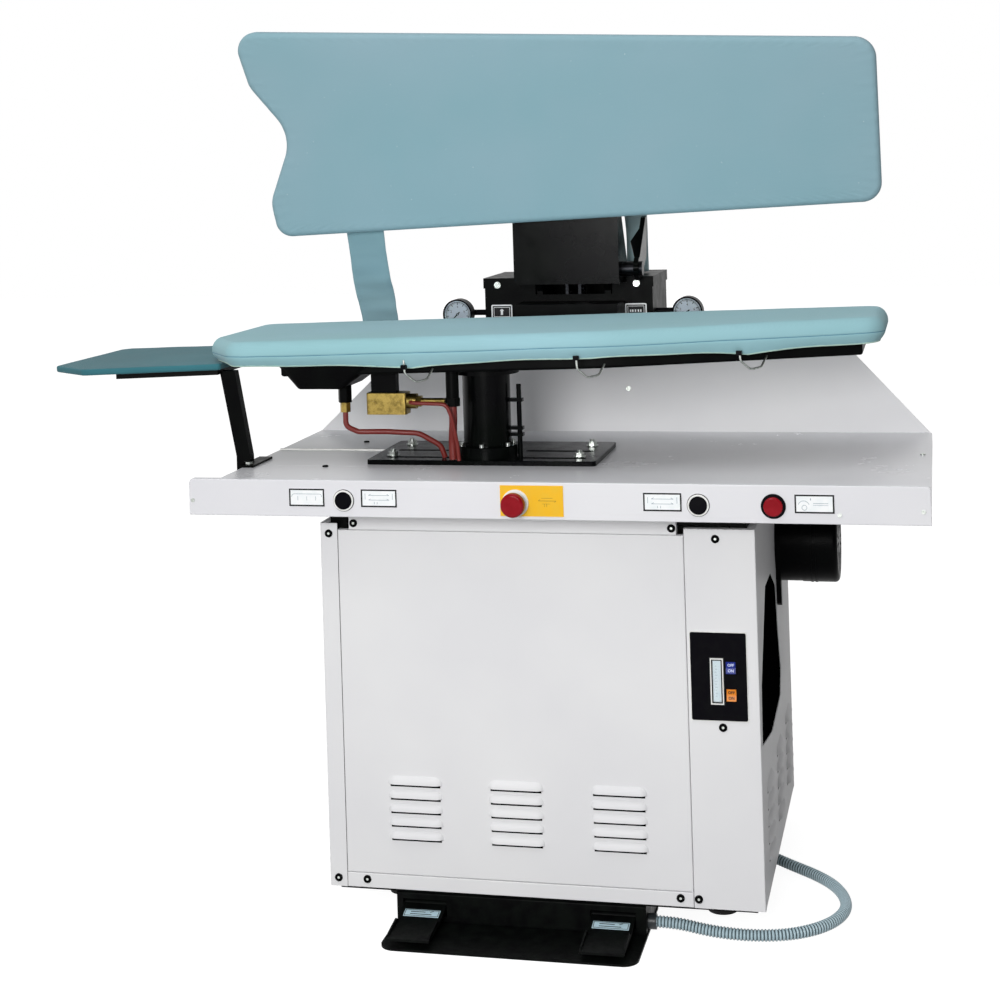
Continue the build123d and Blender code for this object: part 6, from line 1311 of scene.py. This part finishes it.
def makePanelMarks():
    # pale rim round the black plate, on the cabinet's front
    rim = frameStrokes(*panel["plate"], 1.9)
    place = frontFace(panel["cabinetFace"])
    markPiece("control_plate_rim", [boxStrokes(rim, -0.5, 2.0, place)], ringPlastic, "cabinet")
    x, z, w, h = panel["level"]
    place = frontFace(panel["face"])
    trim = frameStrokes(x, z, w + 0.8, h + 0.8, 2.0)
    markPiece("level_trim", [boxStrokes(trim, -0.2, 2.1, place)], ringPlastic, "cabinet")
    edge = frameStrokes(x, z, w + 3.6, h + 3.6, 1.0)
    markPiece("level_edge", [boxStrokes(edge, -0.2, 0.8, place)], printInk, "cabinet")
    # card behind the level's glass, with its scale
    place = frontFace(panel["cardFace"])
    reach = h / 2 - panel["cardInset"]
    card = [(x, z - reach, x, z + reach, w - 7.4)]
    markPiece("level_card", [boxStrokes(card, 0.0, 0.5, place)], levelCard, "cabinet")
    scale = [(x - 3, z + d, x - 3 + (4 if d % 10 == 0 else 2.4), z + d, 0.5) for d in range(-25, 30, 5)]
    markPiece("level_scale", [boxStrokes(scale, 0.45, 0.2, place)], paleInk, "cabinet")
    # the words follow each rocker's dished front: proud = middle + ends' share x |height| over half its height
    turn, (middleProud, endProud) = math.radians(panel["turn"]), panel["dish"]
    for name, middle, colour in panel["rockers"]:
        parts = []
        for word, up in panel["words"]:
            points, faces = textPoints(word, panel["letter"], panel["heavy"])
            tall = up + points[:, 1]
            out = middleProud + endProud * np.abs(tall) / panel["half"] - 0.08 + 0.26 * points[:, 2]
            y = panel["cabinetFace"] - (out * math.cos(turn) - tall * math.sin(turn))
            z = middle + out * math.sin(turn) + tall * math.cos(turn)
            parts.append((np.column_stack([panel["rockerX"] + points[:, 0], y, z]) * mm, faces))
        markPiece(name + "_words", parts, colour, name)


makePanelMarks()

pedal = {
    "xs": [("left_pedal", -212.0), ("right_pedal", 118.0)],
    "top": (-313.0, 26.52), "bottom": (-331.0, 21.79),  # (y, z) of the label's edges on the sloping tread
    "width": 63.0, "thick": 0.8, "bevel": 0.3,
}


def makePedalLabels():
    (y0, z0), (y1, z1) = pedal["top"], pedal["bottom"]
    run = math.hypot(y0 - y1, z0 - z1)
    up, out = np.array([0, y0 - y1, z0 - z1]) / run, np.array([0, -(z0 - z1), y0 - y1]) / run
    for body, x in pedal["xs"]:
        middle = np.array([x, (y0 + y1) / 2, (z0 + z1) / 2])
        place = lambda p: (middle + p[:, :1] * np.array([1.0, 0, 0]) + p[:, 1:2] * up + p[:, 2:] * out) * mm
        plate = boxStrokes([(-pedal["width"] / 2, 0, pedal["width"] / 2, 0, run)], 0.0, pedal["thick"], place)
        piece = markPiece(body + "_label", [plate], pedalCard, body)
        bevel = piece.modifiers.new("softEdge", "BEVEL")
        bevel.width = pedal["bevel"] * mm
        bevel.segments = 2
        lines = frameStrokes(0, 0, pedal["width"] - 3, run - 3, 1.0)
        lines += [(-20, 3, 6, 3, 1.6), (-20, -3, 18, -3, 1.6), (14, 3, 20, 6, 1.2)]
        markPiece(body + "_label_print", [boxStrokes(lines, 0.7, 0.3, place)], printInk, body)


makePedalLabels()

louvre = {
    "length": 97.0, "rise": 14.0, "deep": 6.6,
    "shadeHeight": 4.9,         # height of the black strip under each lip, painted shade standing in for the dark slot; wider than the slot's real 2 mm so that it shows in the render
    "front": [(x, 150.0 + 23.4 * row) for x in (-219.0, -41.0, 137.0) for row in range(5)],
    "side": [(y, 115.0 + 29.0 * row) for y in (-182.0, 12.0, 206.0) for row in range(5)],
    "frontY": -314.0, "sideX": 378.0,
}


def louvreHood(cx, cz, place):
    # half a pressed blister over a slot: with r = distance from the slot's core line over the rise,
    # height = depth (1 - r^2.4); each section is closed along the lip and the panel
    half, tall = louvre["length"] / 2, louvre["rise"]
    t = np.sin(np.linspace(-np.pi / 2, np.pi / 2, 9))
    x = np.concatenate([
        -half + tall + tall * t[:5], np.linspace(tall - half, half - tall, 4)[1:-1], half - tall + tall * t[4:],
    ])
    past = np.clip(np.abs(x) - (half - tall), 0, tall) / tall
    high = tall * np.sqrt(np.clip(1 - past ** 2, 0, 1))
    y = high[:, None] * np.sin(np.linspace(0, np.pi / 2, 9))[None]
    h = louvre["deep"] * (1 - np.sqrt(past[:, None] ** 2 + (y / tall) ** 2) ** 2.4)
    y = np.column_stack([y, high, high / 2, 0 * high])
    h = np.column_stack([h, np.full((len(x), 3), -0.4)])
    flat = past > 0.999
    h[flat] = -0.4
    grid = np.stack([cx + np.repeat(x[:, None], y.shape[1], 1), cz + y, h], -1)
    return place(grid.reshape(-1, 3)), ringFaces(*grid.shape[:2])


def makeLouvres():
    sideFace = lambda p: np.column_stack([louvre["sideX"] + p[:, 2], p[:, 0], p[:, 1]]) * mm
    for name, spots, place in (
        ("front", louvre["front"], frontFace(louvre["frontY"])), ("side", louvre["side"], sideFace),
    ):
        piece = markPiece(
            name + "_louvre_hoods", [louvreHood(x, z, place) for x, z in spots], cabinetPowder,
            "cabinet",
        )
        smoothAll(piece.data)
        piece.data.set_sharp_from_angle(angle=math.radians(50))
        shadeHeight, reach = louvre["shadeHeight"], louvre["length"] / 2 - 4
        # black strips on the panel face under each lip: painted shade of the slot beneath the hood
        shadeStrips = [(x - reach, z - shadeHeight / 2, x + reach, z - shadeHeight / 2, shadeHeight) for x, z in spots]
        markPiece(
            name + "_louvre_slot_shade", [boxStrokes(shadeStrips, -0.3, 0.5, place)], blackFoamAndSlotShade,
            "cabinet",
        )


makeLouvres()

trims = {
    "screws": [
        (-317.0, 693.6), (239.0, 693.6), (-362.5, 675.0), (312.0, 677.0), (316.0, 363.5),
        (-362.5, 75.0), (-310.4, 75.0), (236.4, 75.0), (267.0, 75.0),
    ],
    "clips": [-256.0, 60.0, 341.0],     # where the wire hooks grip the hem
    "sealant": (-586.0, -361.0, 67.0),  # from x, to x, at y
    "tableScrews": [(-431.0, -120.0), (-440.0, 168.0)],
    "frontY": -314.0, "tableTop": 758.0,
}


def makeTrims():
    # black rings round the front screws' heads
    y = trims["frontY"]
    parts = [ringBand(x, z, 2.2, 6.9, y, y - 2.7, 32) for x, z in trims["screws"]]
    markPiece("screw_caps", parts, motorBlack, "cabinet")
    # black clips at the hem, where the wire hooks begin
    parts = []
    for x in trims["clips"]:
        level = buck["level"] + x * math.tan(rise)
        y = -185.5 if x < 100 else -187 + (x - 100) * 115 / 492
        deep = buck["hem"] + sum(size * math.exp(-abs(x - at) / wide) for at, size, wide in buck["pulls"])
        parts.append(boxStrokes(
            [(x - 5, level - deep + 1, x + 5, level - deep + 1, 8.0)], -8.5, 9.5, frontFace(y),
        ))
    markPiece("hook_clips", parts, blackPlastic, "cabinet")
    # bead of sealant along the table's rear seam, left of the base plate
    x0, x1, y = trims["sealant"]
    top = lambda p: np.column_stack([p[:, 0], p[:, 1], trims["tableTop"] + p[:, 2]]) * mm
    markPiece("table_sealant", [boxStrokes([(x0, y, x1, y, 5.0)], -0.1, 2.8, top)], sealant, "cabinet")
    # dark domed heads of the table's own screws: (radius, height) carried round each
    parts = []
    t = np.linspace(0, 2 * np.pi, 24, endpoint=False)
    ring = np.array([(0.0, 2.9), (3.6, 2.8), (5.2, 2.1), (5.8, 0.9), (5.8, -0.2), (0.0, -0.2)])
    for x, y in trims["tableScrews"]:
        grid = np.stack([
            x + ring[:, :1] * np.cos(t), y + ring[:, :1] * np.sin(t),
            trims["tableTop"] + np.repeat(ring[:, 1:], len(t), 1),
        ], -1) * mm
        parts.append((grid.reshape(-1, 3), ringFaces(*grid.shape[:2])))
    markPiece("table_screw_caps", parts, motorBlack, "cabinet")


makeTrims()
print("marks made")
